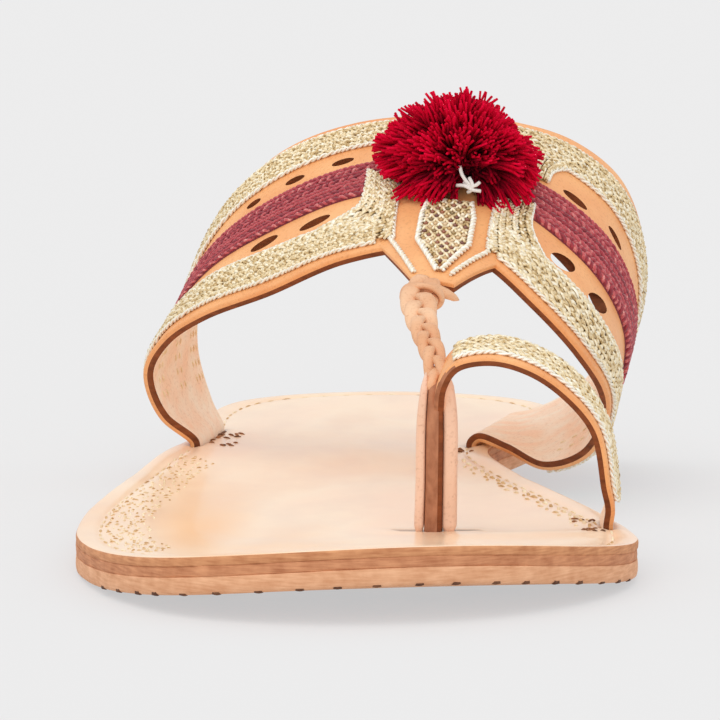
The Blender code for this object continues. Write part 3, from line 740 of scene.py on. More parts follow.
# %% Strap tables
# back edge medial, station, height, then front edge medial, station, height
BAND_SECTIONS = (
    (-29.5, 62.0, 4.8, -32.2, 90.0, 5.5),
    (-29.5, 62.0, 6.6, -32.2, 90.0, 7.3),
    (-31.6, 64.0, 12.0, -37.4, 92.0, 12.0),
    (-33.8, 69.0, 23.0, -40.0, 96.0, 20.0),
    (-32.0, 75.0, 36.0, -36.6, 100.5, 26.6),
    (-26.0, 79.5, 49.2, -29.0, 107.0, 32.0),
    (-16.2, 82.3, 58.8, -17.5, 115.4, 37.0),
    (-2.7, 83.6, 64.0, -3.8, 123.4, 43.5),
    (13.2, 84.0, 65.2, 11.5, 130.6, 46.6),
    (26.0, 82.4, 63.8, 20.8, 135.5, 44.6),
    (36.0, 79.6, 60.2, 29.2, 138.0, 37.6),
    (44.0, 76.0, 53.0, 37.0, 136.0, 28.9),
    (47.8, 70.0, 40.0, 41.6, 126.0, 19.4),
    (45.6, 64.0, 26.0, 38.6, 114.0, 9.2),
    (38.0, 59.0, 14.5, 31.0, 105.6, 5.4),
    (29.0, 56.0, 8.9, 23.8, 95.0, 7.3),
    (24.2, 55.2, 7.6, 18.8, 88.8, 8.2),
    (23.4, 55.0, 6.4, 17.6, 88.0, 7.1),
    (23.4, 55.0, 4.8, 17.6, 88.0, 5.4),
)
LOOP_SECTIONS = (
    (14.4, 187.0, 10.0, 14.6, 191.0, 10.0),
    (14.6, 188.0, 22.0, 14.8, 195.5, 22.0),
    (15.6, 188.6, 32.0, 15.6, 200.4, 30.8),
    (18.2, 189.0, 35.6, 17.9, 201.4, 34.0),
    (23.6, 189.2, 37.0, 23.4, 201.5, 35.0),
    (30.0, 188.8, 35.5, 29.4, 201.0, 33.4),
    (36.2, 188.0, 31.4, 35.0, 200.0, 29.6),
    (40.7, 186.0, 24.4, 39.9, 197.5, 23.4),
    (42.5, 183.0, 14.4, 41.8, 193.0, 13.4),
    (42.4, 180.4, 9.6, 42.5, 190.4, 9.6),
    (41.6, 179.2, 6.9, 42.2, 189.2, 6.9),
    (41.6, 179.0, 4.8, 42.2, 189.0, 4.8),
)
BAND_THICK = 1.8
LOOP_THICK = 1.6
CROWN = (6.0, 11.0)        # sections between which the band lies over the instep
UPRIGHT = (4.0, 12.0)      # sections between which the medial offset grows all the way
TAB_MEDIAL = 12.9
TAB_HALF_ROOT = 9.7
TAB_HALF_TIP = 3.4
TAB_REACH = np.array((-0.3, 14.5, -5.0))
TAB_SPAN = 0.30
HUMP_MEDIAL = 15.0
HUMP_HALF = 7.0
HUMP_SPAN = 0.06
BAND_SAMPLES = 161
FRAME_STEP = 0.02          # step over which the ways along and across a strap are measured
print("band sections:", len(BAND_SECTIONS), "loop sections:", len(LOOP_SECTIONS))


# %% Strap surfaces
def strap_point(rows, number, share):
    """Point of a strap's middle surface: share 0 is its back edge and share 1 its front edge."""
    number, share = np.broadcast_arrays(np.asarray(number, dtype=float), np.asarray(share, dtype=float))
    values = smooth(rows, number)
    return values[..., :3] + (values[..., 3:] - values[..., :3]) * share[..., None]


def band_point(number, share):
    """Point of the band; past share 1 it runs out into the pointed tab."""
    share = np.asarray(share, dtype=float)
    past = np.maximum(share - 1.0, 0.0) / TAB_SPAN
    return strap_point(BAND_SECTIONS, number, np.minimum(share, 1.0)) + past[..., None] * TAB_REACH


def loop_point(number, share):
    """Point of the toe loop."""
    return strap_point(LOOP_SECTIONS, number, share)


def strap_frame(surface, number, share):
    """Point, outward normal, and the ways along the strap and towards its front edge."""
    along = surface(number + FRAME_STEP, share) - surface(number - FRAME_STEP, share)
    front = surface(number, share + FRAME_STEP) - surface(number, share - FRAME_STEP)
    return surface(number, share), unit(np.cross(along, front)), unit(along), unit(front)


def band_number(medial, share=1.0):
    """Section number at which the band's upper stretch has a medial offset."""
    numbers = np.linspace(*UPRIGHT, BAND_SAMPLES)
    return np.interp(medial, band_point(numbers, share)[:, 0], numbers)


def over_instep(number):
    """Whether sections lie over the instep, where the tab and the rise behind the pompom are."""
    return (number > CROWN[0]) & (number < CROWN[1])


def front_limit(number):
    """Front limit of the band: its front edge, and the tab in the middle."""
    aside = np.abs(band_point(number, 1.0)[..., 0] - TAB_MEDIAL)
    reach = (TAB_HALF_ROOT - aside) / (TAB_HALF_ROOT - TAB_HALF_TIP)
    return 1.0 + TAB_SPAN * np.clip(reach, 0.0, 1.0) * over_instep(number)


def back_limit(number):
    """Back limit of the band: its back edge, with a small rise behind the pompom."""
    aside = np.abs(band_point(number, 0.0)[..., 0] - HUMP_MEDIAL)
    near = np.clip(2.0 - 2.0 * aside / HUMP_HALF, 0.0, 1.0)
    return -HUMP_SPAN * near * near * (3.0 - 2.0 * near) * over_instep(number)


print("middle of the tab at section", round(float(band_number(TAB_MEDIAL)), 2))

# %% [markdown]
# ## Cutting the straps
# A strap is leather of an even thickness with a smooth outer face, a napped lining, and a raw edge
# that is burnished dark where the lining meets it. Solidify would give the thickness, but not the three
# finishes and the eased corners, so each section is drawn as one closed ring: outer face, front edge,
# inner face, back edge.

# %% Strap sections
# share of half the thickness, and millimetres out from the edge
CUT_PROFILE = (
    (1.0, -0.32), (0.88, -0.09), (0.6, 0.0), (0.15, 0.03), (-0.7, 0.0), (-0.9, -0.09), (-1.0, -0.32))
PALE_STEPS = 3             # steps of the cut that keep the colour of the outer face
OUTER, EDGE, INNER = 0, 1, 2
# first section, last section and number of columns of three stretches of the band
BAND_STRETCHES = ((0.0, 7.0, 85), (7.0, 10.5, 120), (10.5, len(BAND_SECTIONS) - 1.0, 91))
BAND_ROWS = 40


def strap_shape(surface, numbers, backs, fronts, thick, rows):
    """Closed strap and the finish of each of its faces."""
    shares = backs[:, None] + (fronts - backs)[:, None] * np.linspace(0.0, 1.0, rows + 1)
    points, normals, _, ways = strap_frame(surface, numbers[:, None], shares)
    half = thick / 2
    front = [points[:, -1] + half * up * normals[:, -1] + out * ways[:, -1] for up, out in CUT_PROFILE]
    back = [points[:, 0] + half * up * normals[:, 0] - out * ways[:, 0] for up, out in CUT_PROFILE[::-1]]
    outer = points[:, 1:-1] + half * normals[:, 1:-1]
    inner = (points[:, 1:-1] - half * normals[:, 1:-1])[:, ::-1]
    rings = np.concatenate((outer, np.stack(front, axis=1), inner, np.stack(back, axis=1)), axis=1)
    cut = [OUTER] * PALE_STEPS + [EDGE] * (len(CUT_PROFILE) - 1 - PALE_STEPS)
    kinds = [OUTER] * (rows - 1) + cut + [INNER] * rows + cut[::-1] + [OUTER]
    faces = cord_faces(1, len(numbers), rings.shape[1])
    finish = np.concatenate((np.tile(kinds, len(numbers) - 1), (EDGE, EDGE)))
    return (rings.reshape(-1, 3), faces, 0.5), finish


def band_columns():
    """Section numbers of the band's columns, close together over the instep."""
    columns = np.unique(np.concatenate([np.linspace(*stretch) for stretch in BAND_STRETCHES]))
    for offset in (-TAB_HALF_ROOT, -TAB_HALF_TIP, TAB_HALF_TIP, TAB_HALF_ROOT):
        corner = band_number(TAB_MEDIAL + offset)
        columns[np.argmin(np.abs(columns - corner))] = corner
    return columns


columns = band_columns()
band_shape, band_finish = strap_shape(
    band_point, columns, back_limit(columns), front_limit(columns), BAND_THICK, BAND_ROWS)
print("band:", len(columns), "columns,", len(band_shape[1]), "faces")

# %% [markdown]
# ## Slots in the band
# Small pointed ovals are punched through the leather between the braids, and the light shows through.
# A Boolean with oval plugs cuts them out of the finished band, and the plugs hand their dark raw-edge
# finish to the walls that they leave.

# %% Band with its slots
# medial offset, share of the band's width from its back edge, half length, half width,
# and how far the cut leans towards the toe
SLOTS = (
    (-4.9, 0.285, 2.0, 0.9, 0.0),
    (-13.4, 0.285, 1.9, 0.85, 0.0),
    (-20.8, 0.28, 1.6, 0.8, 0.0),
    (-9.1, 0.672, 3.0, 1.1, 0.0),
    (-18.2, 0.652, 2.9, 1.1, 0.0),
    (35.6, 0.325, 2.6, 1.2, 0.0),
    (42.5, 0.305, 2.4, 1.1, 0.0),
    (33.4, 0.69, 2.5, 1.4, 3.0),
    (39.2, 0.705, 2.3, 1.4, 3.0),
)
SLOT_DEPTH = 3.0
SLOT_TAPER = (1.7, 0.7)    # size of a plug at its inner and its outer end
SLOT_SIDES = 28
FRONT = np.array((0.0, 1.0, 0.0))


def slot_plugs():
    """Oval plugs through the band, one for each slot."""
    _, shares, *halves, lean = np.array(SLOTS).T[..., None]
    numbers = np.array([band_number(*slot[:2]) for slot in SLOTS])
    points, normals, _, fronts = strap_frame(band_point, numbers, shares[:, 0])
    axes = unit(normals + lean * FRONT)
    paths = np.stack((points - SLOT_DEPTH * axes, points + SLOT_DEPTH * axes), axis=1)
    return cords(paths, fronts[:, None], *[half * SLOT_TAPER for half in halves], sides=SLOT_SIDES)


strap_finishes = [band_leather, cut_edge, lining_leather]
band = bpy.data.objects.new("band", make_mesh("band", band_shape, strap_finishes, band_finish))
plugs = bpy.data.objects.new("plugs", make_mesh("plugs", slot_plugs(), [cut_edge]))
for item in (band, plugs):
    bpy.context.scene.collection.objects.link(item)
punch = band.modifiers.new("punch", "BOOLEAN")
punch.object = plugs
punch.operation = "DIFFERENCE"
punch.material_mode = "TRANSFER"
punched = bpy.data.meshes.new_from_object(band.evaluated_get(bpy.context.evaluated_depsgraph_get()))
for item in (band, plugs):
    bpy.data.objects.remove(item)
punched.name = "band"
punched.set_sharp_from_angle(angle=math.radians(60))
hang(bpy.data.objects.new("band", punched), "band_leather", ["upper"])

# %% [markdown]
# ## Toe loop
# The loop is a narrow strap that starts in the toe post, arches over the big toe and goes down
# through the insole. It is cut from the same leather, so the same section builder makes it. Inside the
# post it is cut narrower, and where it comes out the outer half of its raw edge is as brown as the
# post, so the first columns take the post's finish there.

# %% Toe loop
LOOP_CLEAR = 2.1           # section at which the loop's face leaves the post
LOOP_SLANT = 0.4           # how much later each step of its raw edge does
LOOP_TUCK = 0.33           # share of its width that is cut away inside the post
LOOP_COLUMNS = 130
LOOP_ROWS = 10
POST = 3                   # number of the post's finish among the loop's
post_leather = cut_leather("post_leather", paint(190, 132, 100), paint(150, 96, 70), (1.0, 1.0, 3.0))
loop_columns = np.linspace(0.0, len(LOOP_SECTIONS) - 1.0, LOOP_COLUMNS)
loop_fronts = 1.0 - LOOP_TUCK * np.clip(2.0 - loop_columns, 0.0, 1.0)
loop_shape, loop_finish = strap_shape(
    loop_point, loop_columns, np.zeros(LOOP_COLUMNS), loop_fronts, LOOP_THICK, LOOP_ROWS)
side_finish = loop_finish[:-2].reshape(LOOP_COLUMNS - 1, -1)
for step in range(PALE_STEPS):
    side_finish[loop_columns[:-1] < LOOP_CLEAR + LOOP_SLANT * step, LOOP_ROWS - 1 + step] = POST
loop_finishes = [*strap_finishes, post_leather]
add_piece("toe_loop", loop_shape, loop_finishes, "band_leather", ["upper"], loop_finish)

# %% [markdown]
# ## Plaited thong
# From the tip of the tab a lace is plaited in three strands down to the toe post. A plait is a sine
# sideways and a sine of twice the speed up and down, with the strands a third of a turn apart: that
# alone makes each strand pass over one neighbour and under the other. The turns get shorter as the
# plait gets narrower, and the ends taper where they sink into the post.

# %% Plaited thong
# medial, station, height, half width, half thickness
THONG_SECTIONS = (
    (12.0, 144.4, 42.1, 3.0, 1.1),
    (11.2, 147.5, 41.4, 3.1, 1.6),
    (10.4, 155.0, 40.4, 3.1, 1.7),
    (11.1, 168.0, 38.6, 2.6, 1.6),
    (12.5, 180.0, 36.4, 2.1, 1.5),
    (14.1, 190.0, 33.6, 1.9, 1.5),
    (14.6, 195.6, 29.4, 1.9, 1.4),
)
PLAIT_PITCH = 11.0         # length of one full turn of the plait, in half widths
PLAIT_TAIL = 0.9           # length over which the strands taper at the post
STRANDS = 3
ROUTE_SAMPLES = 400


def route(rows, spacing):
    """Evenly spaced rows along the line of a table's first three columns, and the lengths there."""
    values = smooth(rows, np.linspace(0.0, len(rows) - 1.0, ROUTE_SAMPLES))
    lengths = lengths_along(values[:, :3])
    even = np.linspace(0.0, lengths[-1], int(lengths[-1] / spacing) + 1)
    return at_lengths(values, lengths, even), even


def plaited(points, ways, ups, lengths, pitch, swing, lift):
    """Paths of three strands plaited about a line."""
    phase = 2 * np.pi * (lengths / pitch + np.arange(STRANDS)[:, None] / STRANDS)
    sideways = (swing * np.sin(phase))[..., None] * ways
    upwards = (lift * np.sin(2 * phase))[..., None] * ups
    return points + sideways + upwards


def sweep_ways(points):
    """Sideways and upward directions along a route that runs towards the toe."""
    forward = unit(np.gradient(points, axis=0))
    side = unit(np.array((1.0, 0.0, 0.0)) - forward * forward[:, :1])
    return side, np.cross(side, forward)


thong, thong_lengths = route(THONG_SECTIONS, 0.5)
thong_sides, thong_ups = sweep_ways(thong[:, :3])
half_width, half_thick = thong[:, 3], thong[:, 4]
plait_turns = np.concatenate(([0.0], np.cumsum(np.diff(thong_lengths) / half_width[1:])))
strand_paths = plaited(
    thong[:, :3], thong_sides, thong_ups, plait_turns, PLAIT_PITCH, 0.58 * half_width, 0.62 * half_thick)
tail = np.sqrt(np.clip((thong_lengths[-1] - thong_lengths) / PLAIT_TAIL, 0.1, 1.0))
strand_tints = np.array((0.3, 0.5, 0.7))
thong_shape = cords(
    strand_paths, thong_ups, 0.47 * half_width * tail, 0.48 * half_thick * tail, 12, 0.85, strand_tints)
print("thong:", round(thong_lengths[-1], 1), "mm long")

# %% [markdown]
# ## Knot and toe post
# A turn of lace ties the thong under the tab, and its cut end sticks out towards the big toe. The post
# is three strips side by side: the raw edge of the toe loop's end in the middle, and a lace down each
# side of it. All are cords with a boxy section.

# %% Knot and toe post
# medial, station, height, half width, half thickness
LACE_END = (
    (8.8, 151.0, 41.2, 1.2, 0.7),
    (11.6, 152.4, 41.8, 1.5, 0.8),
    (14.6, 152.0, 40.9, 1.4, 0.8),
    (16.9, 150.6, 39.6, 0.8, 0.5),
)
# medial, station, height, half width, half depth
POST_SECTIONS = (
    (14.5, 195.0, 32.4, 2.3, 1.8),
    (14.4, 193.8, 25.0, 3.2, 2.0),
    (14.2, 191.2, 14.0, 3.3, 2.1),
    (14.0, 189.2, 6.6, 3.4, 2.1),
    (14.0, 189.2, 4.8, 3.4, 2.1),
)
POST_SHY = 2               # rings by which the middle strips stay below the tops of the laces
POST_EASE = 4              # rings over which a lace narrows at its ends
LACE_UP = (0.0, 0.3, 1.0)
KNOT_PLACE = (10.8, 152.2, 40.3)
KNOT_HALF = (3.3, 2.0)
KNOT_SLANT = 1.8
KNOT_STEPS = 61


def eased_ends(count, soft):
    """Size along a cord that is rounded off at both ends."""
    place_along = np.minimum(np.arange(count), np.arange(count)[::-1]) / soft
    return np.sqrt(np.clip(place_along, 0.06, 1.0))


def lace_end_shape():
    """Cut end of the lace beside the knot."""
    rows, _ = route(LACE_END, 0.4)
    ease = eased_ends(len(rows), 3)
    return cords(rows[None, :, :3], LACE_UP, rows[:, 3] * ease, rows[:, 4] * ease, 12, 0.7)


def knot_shape():
    """Turn of lace round the top of the thong."""
    angle = np.linspace(0.0, 2 * np.pi, KNOT_STEPS)
    across, high = KNOT_HALF
    ring = np.stack((across * np.cos(angle), KNOT_SLANT * np.sin(angle + 0.6), high * np.sin(angle)), axis=1)
    outward = ring * (1.0, 0.0, 1.0)
    return cords((ring + KNOT_PLACE)[None], outward[None], 1.35, 0.55, 12, 0.7)


def post_strip(offset, width, depth, shy=0):
    """Strip of the post, at an offset that is a share of its half width, some rings short at its top."""
    rows = route(POST_SECTIONS, 0.6)[0][shy:]
    path = rows[:, :3] + np.outer(offset * rows[:, 3], (1.0, 0.0, 0.0))
    ease = eased_ends(len(rows), POST_EASE - shy)
    return cords(path[None], FRONT, width * rows[:, 3] * ease, depth * rows[:, 4] * ease, 16, 0.5)


post_lace = leather("post_lace", paint(246, 210, 188), paint(234, 194, 168), 0.6, 0.05)
thong_parts = joined((thong_shape, knot_shape(), lace_end_shape()))
add_piece("thong_plait", thong_parts, [lace_leather], "band_leather", ["upper"])
post_sides = joined((post_strip(-0.72, 0.24, 0.85), post_strip(0.72, 0.36, 0.95)))
add_piece("post_laces", post_sides, [post_lace], "band_leather", ["upper"])
post_middle = post_strip(-0.06, 0.42, 1.04, POST_SHY)
post_dark = post_strip(0.24, 0.15, 1.07, POST_SHY)
shape, finish = layered(([post_middle], [post_dark]))
add_piece("post_edge", shape, [post_leather, cut_edge], "band_leather", ["upper"], finish)

# %% [markdown]
# ## Thread finishes
# The braid is cotton wrapped in thin metal-look thread. Its colour has painted glints of cream and white on
# top, and olive in its gaps that is partly the cotton and partly painted shade. The weave and the pompom are
# dyed yarn, dull and a little furry. One recipe takes a thread's tint through a few colours and breaks it up
# with a fleck of noise, which on the gold paints glints.

# %% Thread finishes
def thread(name, stops, sockets, fleck_and_glint_amount=0.5, fleck_and_glint_size=0.45):
    """Thread whose colour follows its tint, with flecks, which on the gold are painted glints, and fine
    fibres.
    """
    material, tree, shader = new_finish(name, sockets)
    fleck = combine(tree, "SUBTRACT", noise(tree, fleck_and_glint_size, detail=2.0), 0.5)
    shade = combine(tree, "ADD", tint(tree), combine(tree, "MULTIPLY", fleck, fleck_and_glint_amount))
    fibres = noise(tree, 0.2, detail=2.0)
    stops = [(where, paint(*colour)) for where, colour in stops]
    dress(tree, shader, ramp(tree, shade, stops), fibres, 0.05)
    return material


METAL = {"Metallic": 0.25, "Roughness": 0.40, "Specular IOR Level": 0.6}
# its flecks paint glints in near white, and its olive end is partly the cotton and partly painted shade in
# the gaps
gold_thread = thread(
    "gold_thread",
    ((0.0, (116, 84, 44)), (0.3, (202, 170, 114)), (0.6, (242, 222, 180)), (1.0, (255, 249, 230))),
    METAL, 1.5, 0.8)
silver_thread = thread(
    "silver_thread", ((0.0, (176, 150, 110)), (0.4, (238, 226, 200)), (1.0, (255, 253, 244))), METAL)
backing_cloth = thread("backing_cloth", ((0.2, (128, 92, 50)), (0.8, (186, 148, 94))), {"Roughness": 0.9})
# the palest pink stop paints highlights on the yarn
maroon_yarn = thread(
    "maroon_yarn",
    ((0.0, (108, 28, 44)), (0.4, (166, 50, 62)), (0.75, (198, 86, 90)), (1.0, (240, 170, 160))),
    {"Roughness": 0.75, "Sheen Weight": 0.25, "Sheen Roughness": 0.5}, 0.9, 0.6)
sewing_thread = thread(
    "sewing_thread",
    ((0.0, (150, 110, 70)), (0.5, (206, 168, 118)), (1.0, (244, 222, 180))), {"Roughness": 0.65})
border_thread = thread(
    "border_thread",
    ((0.0, (176, 128, 78)), (0.4, (218, 178, 124)), (1.0, (252, 236, 204))), {"Roughness": 0.65})
dark_thread = thread("dark_thread", ((0.0, (84, 48, 28)), (1.0, (168, 112, 70))), {"Roughness": 0.8})
print("thread finishes: gold, silver, backing, maroon, sewing, border, dark")

# %% [markdown]
# ## Lines on a strap
# A trim is laid between two shares of the strap's width, from one section to another. A line of thread
# needs points at even distances along it, with the normal and the sideways way at each, so that a
# plait keeps its pitch even where the sections lie far apart.

# %% Lines on a strap
LINE_SAMPLES = 600


def between(low, high, share):
    """Value between two ends."""
    return low + (high - low) * share


def strip_chart(first, last, limits):
    """Section number and width share of a trim from two shares of its own length and width."""
    def chart(along, across):
        low = between(limits[0], limits[2], along)
        high = between(limits[1], limits[3], along)
        return between(first, last, along), between(low, high, across)
    return chart


def trim_line(surface, chart, across, spacing):
    """Even points along one line of a trim, with normals, front ways, lengths and the trim's width."""
    along = np.linspace(0.0, 1.0, LINE_SAMPLES)
    lengths = lengths_along(surface(*chart(along, across)))
    even = np.linspace(0.0, lengths[-1], max(int(lengths[-1] / spacing), 4) + 1)
    spots = np.interp(even, lengths, along)
    points, normals, _, fronts = strap_frame(surface, *chart(spots, across))
    width = np.linalg.norm(surface(*chart(spots, 1.0)) - surface(*chart(spots, 0.0)), axis=-1)
    return points, normals, fronts, even, width


def slab_shape(surface, chart, size, low, high):
    """Thin closed sheet between two heights above a strap's middle surface."""
    first = np.linspace(0.0, 1.0, size[0] + 1)[:, None]
    second = np.linspace(0.0, 1.0, size[1] + 1)[None, :]
    number, share = np.broadcast_arrays(*chart(first, second))
    points, normals, _, _ = strap_frame(surface, number, share)
    rings = np.concatenate((points + high * normals, (points + low * normals)[:, ::-1]), axis=1)
    return rings.reshape(-1, 3), cord_faces(1, rings.shape[0], rings.shape[1]), 0.5


def twisted(points, ways, ups, lengths, pitch, radius, plies=2):
    """Paths of plies twisted about a line."""
    phase = 2 * np.pi * (lengths / pitch + np.arange(plies)[:, None] / plies)
    return points + (radius * np.cos(phase))[..., None] * ways + (radius * np.sin(phase))[..., None] * ups


whole_edge = trim_line(band_point, strip_chart(0.0, len(BAND_SECTIONS) - 1.0, (0.0, 1.0, 0.0, 1.0)), 1.0, 1.0)
print("front edge of the band:", round(whole_edge[3][-1], 1), "mm")

# %% [markdown]
# ## Gold braids
# Each gold trim is several narrow plaits laid side by side on a strip of backing, with a pale twisted
# thread couched along its borders. A bump pattern would look flat from the side, so every strand is a
# real cord. Neighbouring plaits start at other phases and their strands differ in shade, as in hand
# work.

# %% Gold braids
BACK_BRAID = (0.045, 0.21, 0.07, 0.20)
LATERAL_BRAID = (0.61, 0.885, 0.785, 0.965)
MEDIAL_BRAID = (0.765, 0.965, 0.785, 0.965)
TRIM_ENDS = (2.2, 14.0)    # sections at which the trims end on the lateral and the medial side
BRAID_INNER = (2.2, 22.4)  # medial offsets at which the front braids stop beside the tab
LOOP_TRIM = (3.0, 8.6)
LOOP_BRAID = (0.14, 0.86, 0.14, 0.86)
PLAIT_STEP = 0.34
BRAID_SEED = 20


def uneven(lengths, rng):
    """Distances along a plait whose stitches run a little tighter here and looser there."""
    start, first, second = rng.uniform(0.0, 6.0, 3)
    return lengths + start + 0.35 * np.sin(0.61 * lengths + first) + 0.25 * np.sin(1.37 * lengths + second)


def braid_shape(surface, chart, seat, rows, seed):
    """Backing, plaits and border threads of one gold trim; seat is half the strap's thickness."""
    rng = np.random.default_rng(seed)
    plaits, borders = [], []
    for row in range(rows):
        points, normals, _, lengths, width = trim_line(surface, chart, (row + 0.5) / rows, PLAIT_STEP)
        cell = width / rows
        ways = unit(np.cross(normals, np.gradient(points, axis=0)))
        centre = points + (seat + 0.52) * normals
        paths = plaited(centre, ways, normals, uneven(lengths, rng), 1.75 * cell.mean(), 0.30 * cell, 0.26)
        plaits.append(cords(paths, normals, 0.20 * cell, 0.24, 5, tints=rng.uniform(0.35, 0.85, STRANDS)))
    for across in (0.0, 1.0):
        points, normals, _, lengths, _ = trim_line(surface, chart, across, PLAIT_STEP)
        ways = unit(np.cross(normals, np.gradient(points, axis=0)))
        paths = twisted(points + (seat + 0.38) * normals, ways, normals, uneven(lengths, rng), 2.2, 0.22)
        borders.append(cords(paths, normals, 0.26, 0.26, 5, tints=rng.uniform(0.45, 0.9, 2)))
    backing = [slab_shape(surface, chart, (90, 6), seat - 0.1, seat + 0.22)]
    return layered((plaits, borders, backing))


back_chart = strip_chart(*TRIM_ENDS, BACK_BRAID)
lateral_chart = strip_chart(TRIM_ENDS[0], band_number(BRAID_INNER[0]), LATERAL_BRAID)
medial_chart = strip_chart(band_number(BRAID_INNER[1]), TRIM_ENDS[1], MEDIAL_BRAID)
loop_chart = strip_chart(*LOOP_TRIM, LOOP_BRAID)
braids = (
    ("back_braid", band_point, back_chart, BAND_THICK, 5),
    ("lateral_braid", band_point, lateral_chart, BAND_THICK, 5),
    ("medial_braid", band_point, medial_chart, BAND_THICK, 5),
    ("loop_braid", loop_point, loop_chart, LOOP_THICK, 4),
)
braid_finishes = [gold_thread, silver_thread, backing_cloth]
for number, (node, surface, chart, thick, rows) in enumerate(braids):
    shape, finish = braid_shape(surface, chart, thick / 2, rows, BRAID_SEED + number)
    add_piece(node + "_threads", shape, braid_finishes, "gold_braid", [node], finish)

# %% [markdown]
# ## Maroon stripes
# Between the gold braids runs a stripe of maroon yarn in close rows of chain. Twisted pairs of yarn,
# turned the other way in every second row, give the slanting strokes of that work.

# %% Maroon stripes
LATERAL_STRIPE = (0.37, 0.60, 0.355, 0.585)
MEDIAL_STRIPE = (0.385, 0.60, 0.37, 0.605)
STRIPE_INNER = (3.4, 27.2) # medial offsets at which the stripes run under the pompom
STRIPE_SHARE = 0.45        # width share at which those offsets are read
STRIPE_ROWS = 9
STRIPE_TWIST = 1.8         # length of one turn of a pair of yarns
STRIPE_STEP = 0.26


def stripe_shape(chart, seed):
    """Rows of twisted yarn on their backing."""
    rng = np.random.default_rng(seed)
    yarns = []
    for row in range(STRIPE_ROWS):
        across = (row + 0.5) / STRIPE_ROWS
        points, normals, fronts, lengths, width = trim_line(band_point, chart, across, STRIPE_STEP)
        cell = width / STRIPE_ROWS
        turn = 1.0 if row % 2 else -1.0
        centre = points + (BAND_THICK / 2 + 0.40) * normals
        paths = twisted(centre, fronts * turn, normals, uneven(lengths, rng), STRIPE_TWIST, 0.20 * cell)
        yarns.append(cords(paths, normals, 0.30 * cell, 0.28 * cell, 5, tints=rng.uniform(0.2, 0.8, 2)))
    backing = slab_shape(band_point, chart, (60, 6), BAND_THICK / 2 - 0.1, BAND_THICK / 2 + 0.2)
    return joined((*yarns, (backing[0], backing[1], 0.1)))


stripe_ends = band_number(np.array(STRIPE_INNER), STRIPE_SHARE)
lateral_strip = strip_chart(TRIM_ENDS[0], stripe_ends[0], LATERAL_STRIPE)
medial_strip = strip_chart(stripe_ends[1], TRIM_ENDS[1], MEDIAL_STRIPE)
for node, chart, seed in (("lateral_stripe", lateral_strip, 31), ("medial_stripe", medial_strip, 32)):
    add_piece(node + "_yarn", stripe_shape(chart, seed), [maroon_yarn], "maroon_weave", [node])

# %% [markdown]
# ## Leaf on the tab
# The tab carries a leaf of beads and thread: a net of slanting stitches with a bead at each crossing,
# inside an outline of pale twisted thread that comes to a point above the knot. The net is drawn on a
# flat chart of millimetres first and then laid on the tab.

# %% Leaf finish
bead_glass = thread(
    "bead_glass",
    ((0.0, (96, 40, 28)), (0.35, (164, 92, 52)), (0.55, (122, 108, 56)),
     (0.75, (206, 160, 98)), (1.0, (248, 232, 200))),
    {"Roughness": 0.22, "Specular IOR Level": 0.7, "Coat Weight": 0.4}, 0.15)
leaf_ground = thread("leaf_ground", ((0.2, (148, 92, 54)), (0.8, (196, 136, 84))), {"Roughness": 0.9})
print("finishes:", bead_glass.name, "and", leaf_ground.name)

# %% Leaf
MOTIF_MEDIAL = 13.8
MOTIF_HALF = 4.4
MOTIF_SHARES = (0.69, 1.23)
MOTIF_LENGTH = 28.0
# share of the leaf's length, share of its half width
LEAF_OUTLINE = ((0.0, 0.84), (0.2, 1.0), (0.56, 1.0), (1.0, 0.1))
RIM_WIDTH = 0.5            # how far inside the solid's edge the outline thread runs
NET_ACROSS = 1.56
NET_ALONG = 1.5
BEAD_RADIUS = 0.42
LEAF_STEPS = 130           # points along each side of the outline


def leaf_half(along):
    """Half width of the leaf at a share of its length, in millimetres."""
    return MOTIF_HALF * np.interp(along, *np.array(LEAF_OUTLINE).T) - RIM_WIDTH * (1.0 - along)


def leaf_frame(across, along):
    """Frame on the tab of chart points: millimetres across, and share of the leaf's length."""
    number = band_number(MOTIF_MEDIAL + across)
    return strap_frame(band_point, number, between(*MOTIF_SHARES, along))


def leaf_net():
    """Chart points of the cells of the net, as millimetres across and share of the length."""
    spots = []
    for line in range(int(MOTIF_LENGTH / NET_ALONG)):
        along = (line + 0.6) * NET_ALONG / MOTIF_LENGTH
        shift = 0.5 * (line % 2)
        for column in range(-4, 5):
            across = (column + shift) * NET_ACROSS
            if abs(across) < leaf_half(along) - 0.6:
                spots.append((across, along))
    return np.array(spots)


def bead_shapes(spots, rng):
    """Small round beads, standing on the pad."""
    points, normals, _, fronts = leaf_frame(*spots.T)
    height = np.linspace(-1.0, 1.0, 6)
    size = np.sqrt(np.maximum(1.0 - height ** 2, 0.02)) * BEAD_RADIUS
    centres = points + (BAND_THICK / 2 + 0.62) * normals
    paths = centres[:, None] + height[:, None] * BEAD_RADIUS * normals[:, None]
    return cords(paths, fronts[:, None], size, size, 8, 1.0, rng.uniform(0, 1, len(spots)) ** 1.3)


def net_threads(spots, slant, rng):
    """Pale slanting stitches that cross between the beads."""
    half = np.array((NET_ACROSS * 0.5 * slant, NET_ALONG / MOTIF_LENGTH))
    reach = np.linspace(-0.55, 0.55, 7)[:, None]
    chart = spots[:, None] + half * reach
    points, normals, _, _ = leaf_frame(chart[..., 0], chart[..., 1])
    paths = points + (BAND_THICK / 2 + 0.55 + 0.30 * np.cos(np.pi * reach)) * normals
    return cords(paths, normals, 0.27, 0.25, 6, 1.0, rng.uniform(0.3, 0.85, len(spots)))


def couched(points, normals, lift, pitch, twist, radius, sides, tints):
    """Two-ply thread laid along a line of the band, at a height above the leather."""
    ways = unit(np.cross(np.gradient(points, axis=0), normals))
    centre = points + (BAND_THICK / 2 + lift) * normals
    paths = twisted(centre, ways, normals, lengths_along(points), pitch, twist)
    return cords(paths, normals, radius, radius, sides, tints=np.array(tints))


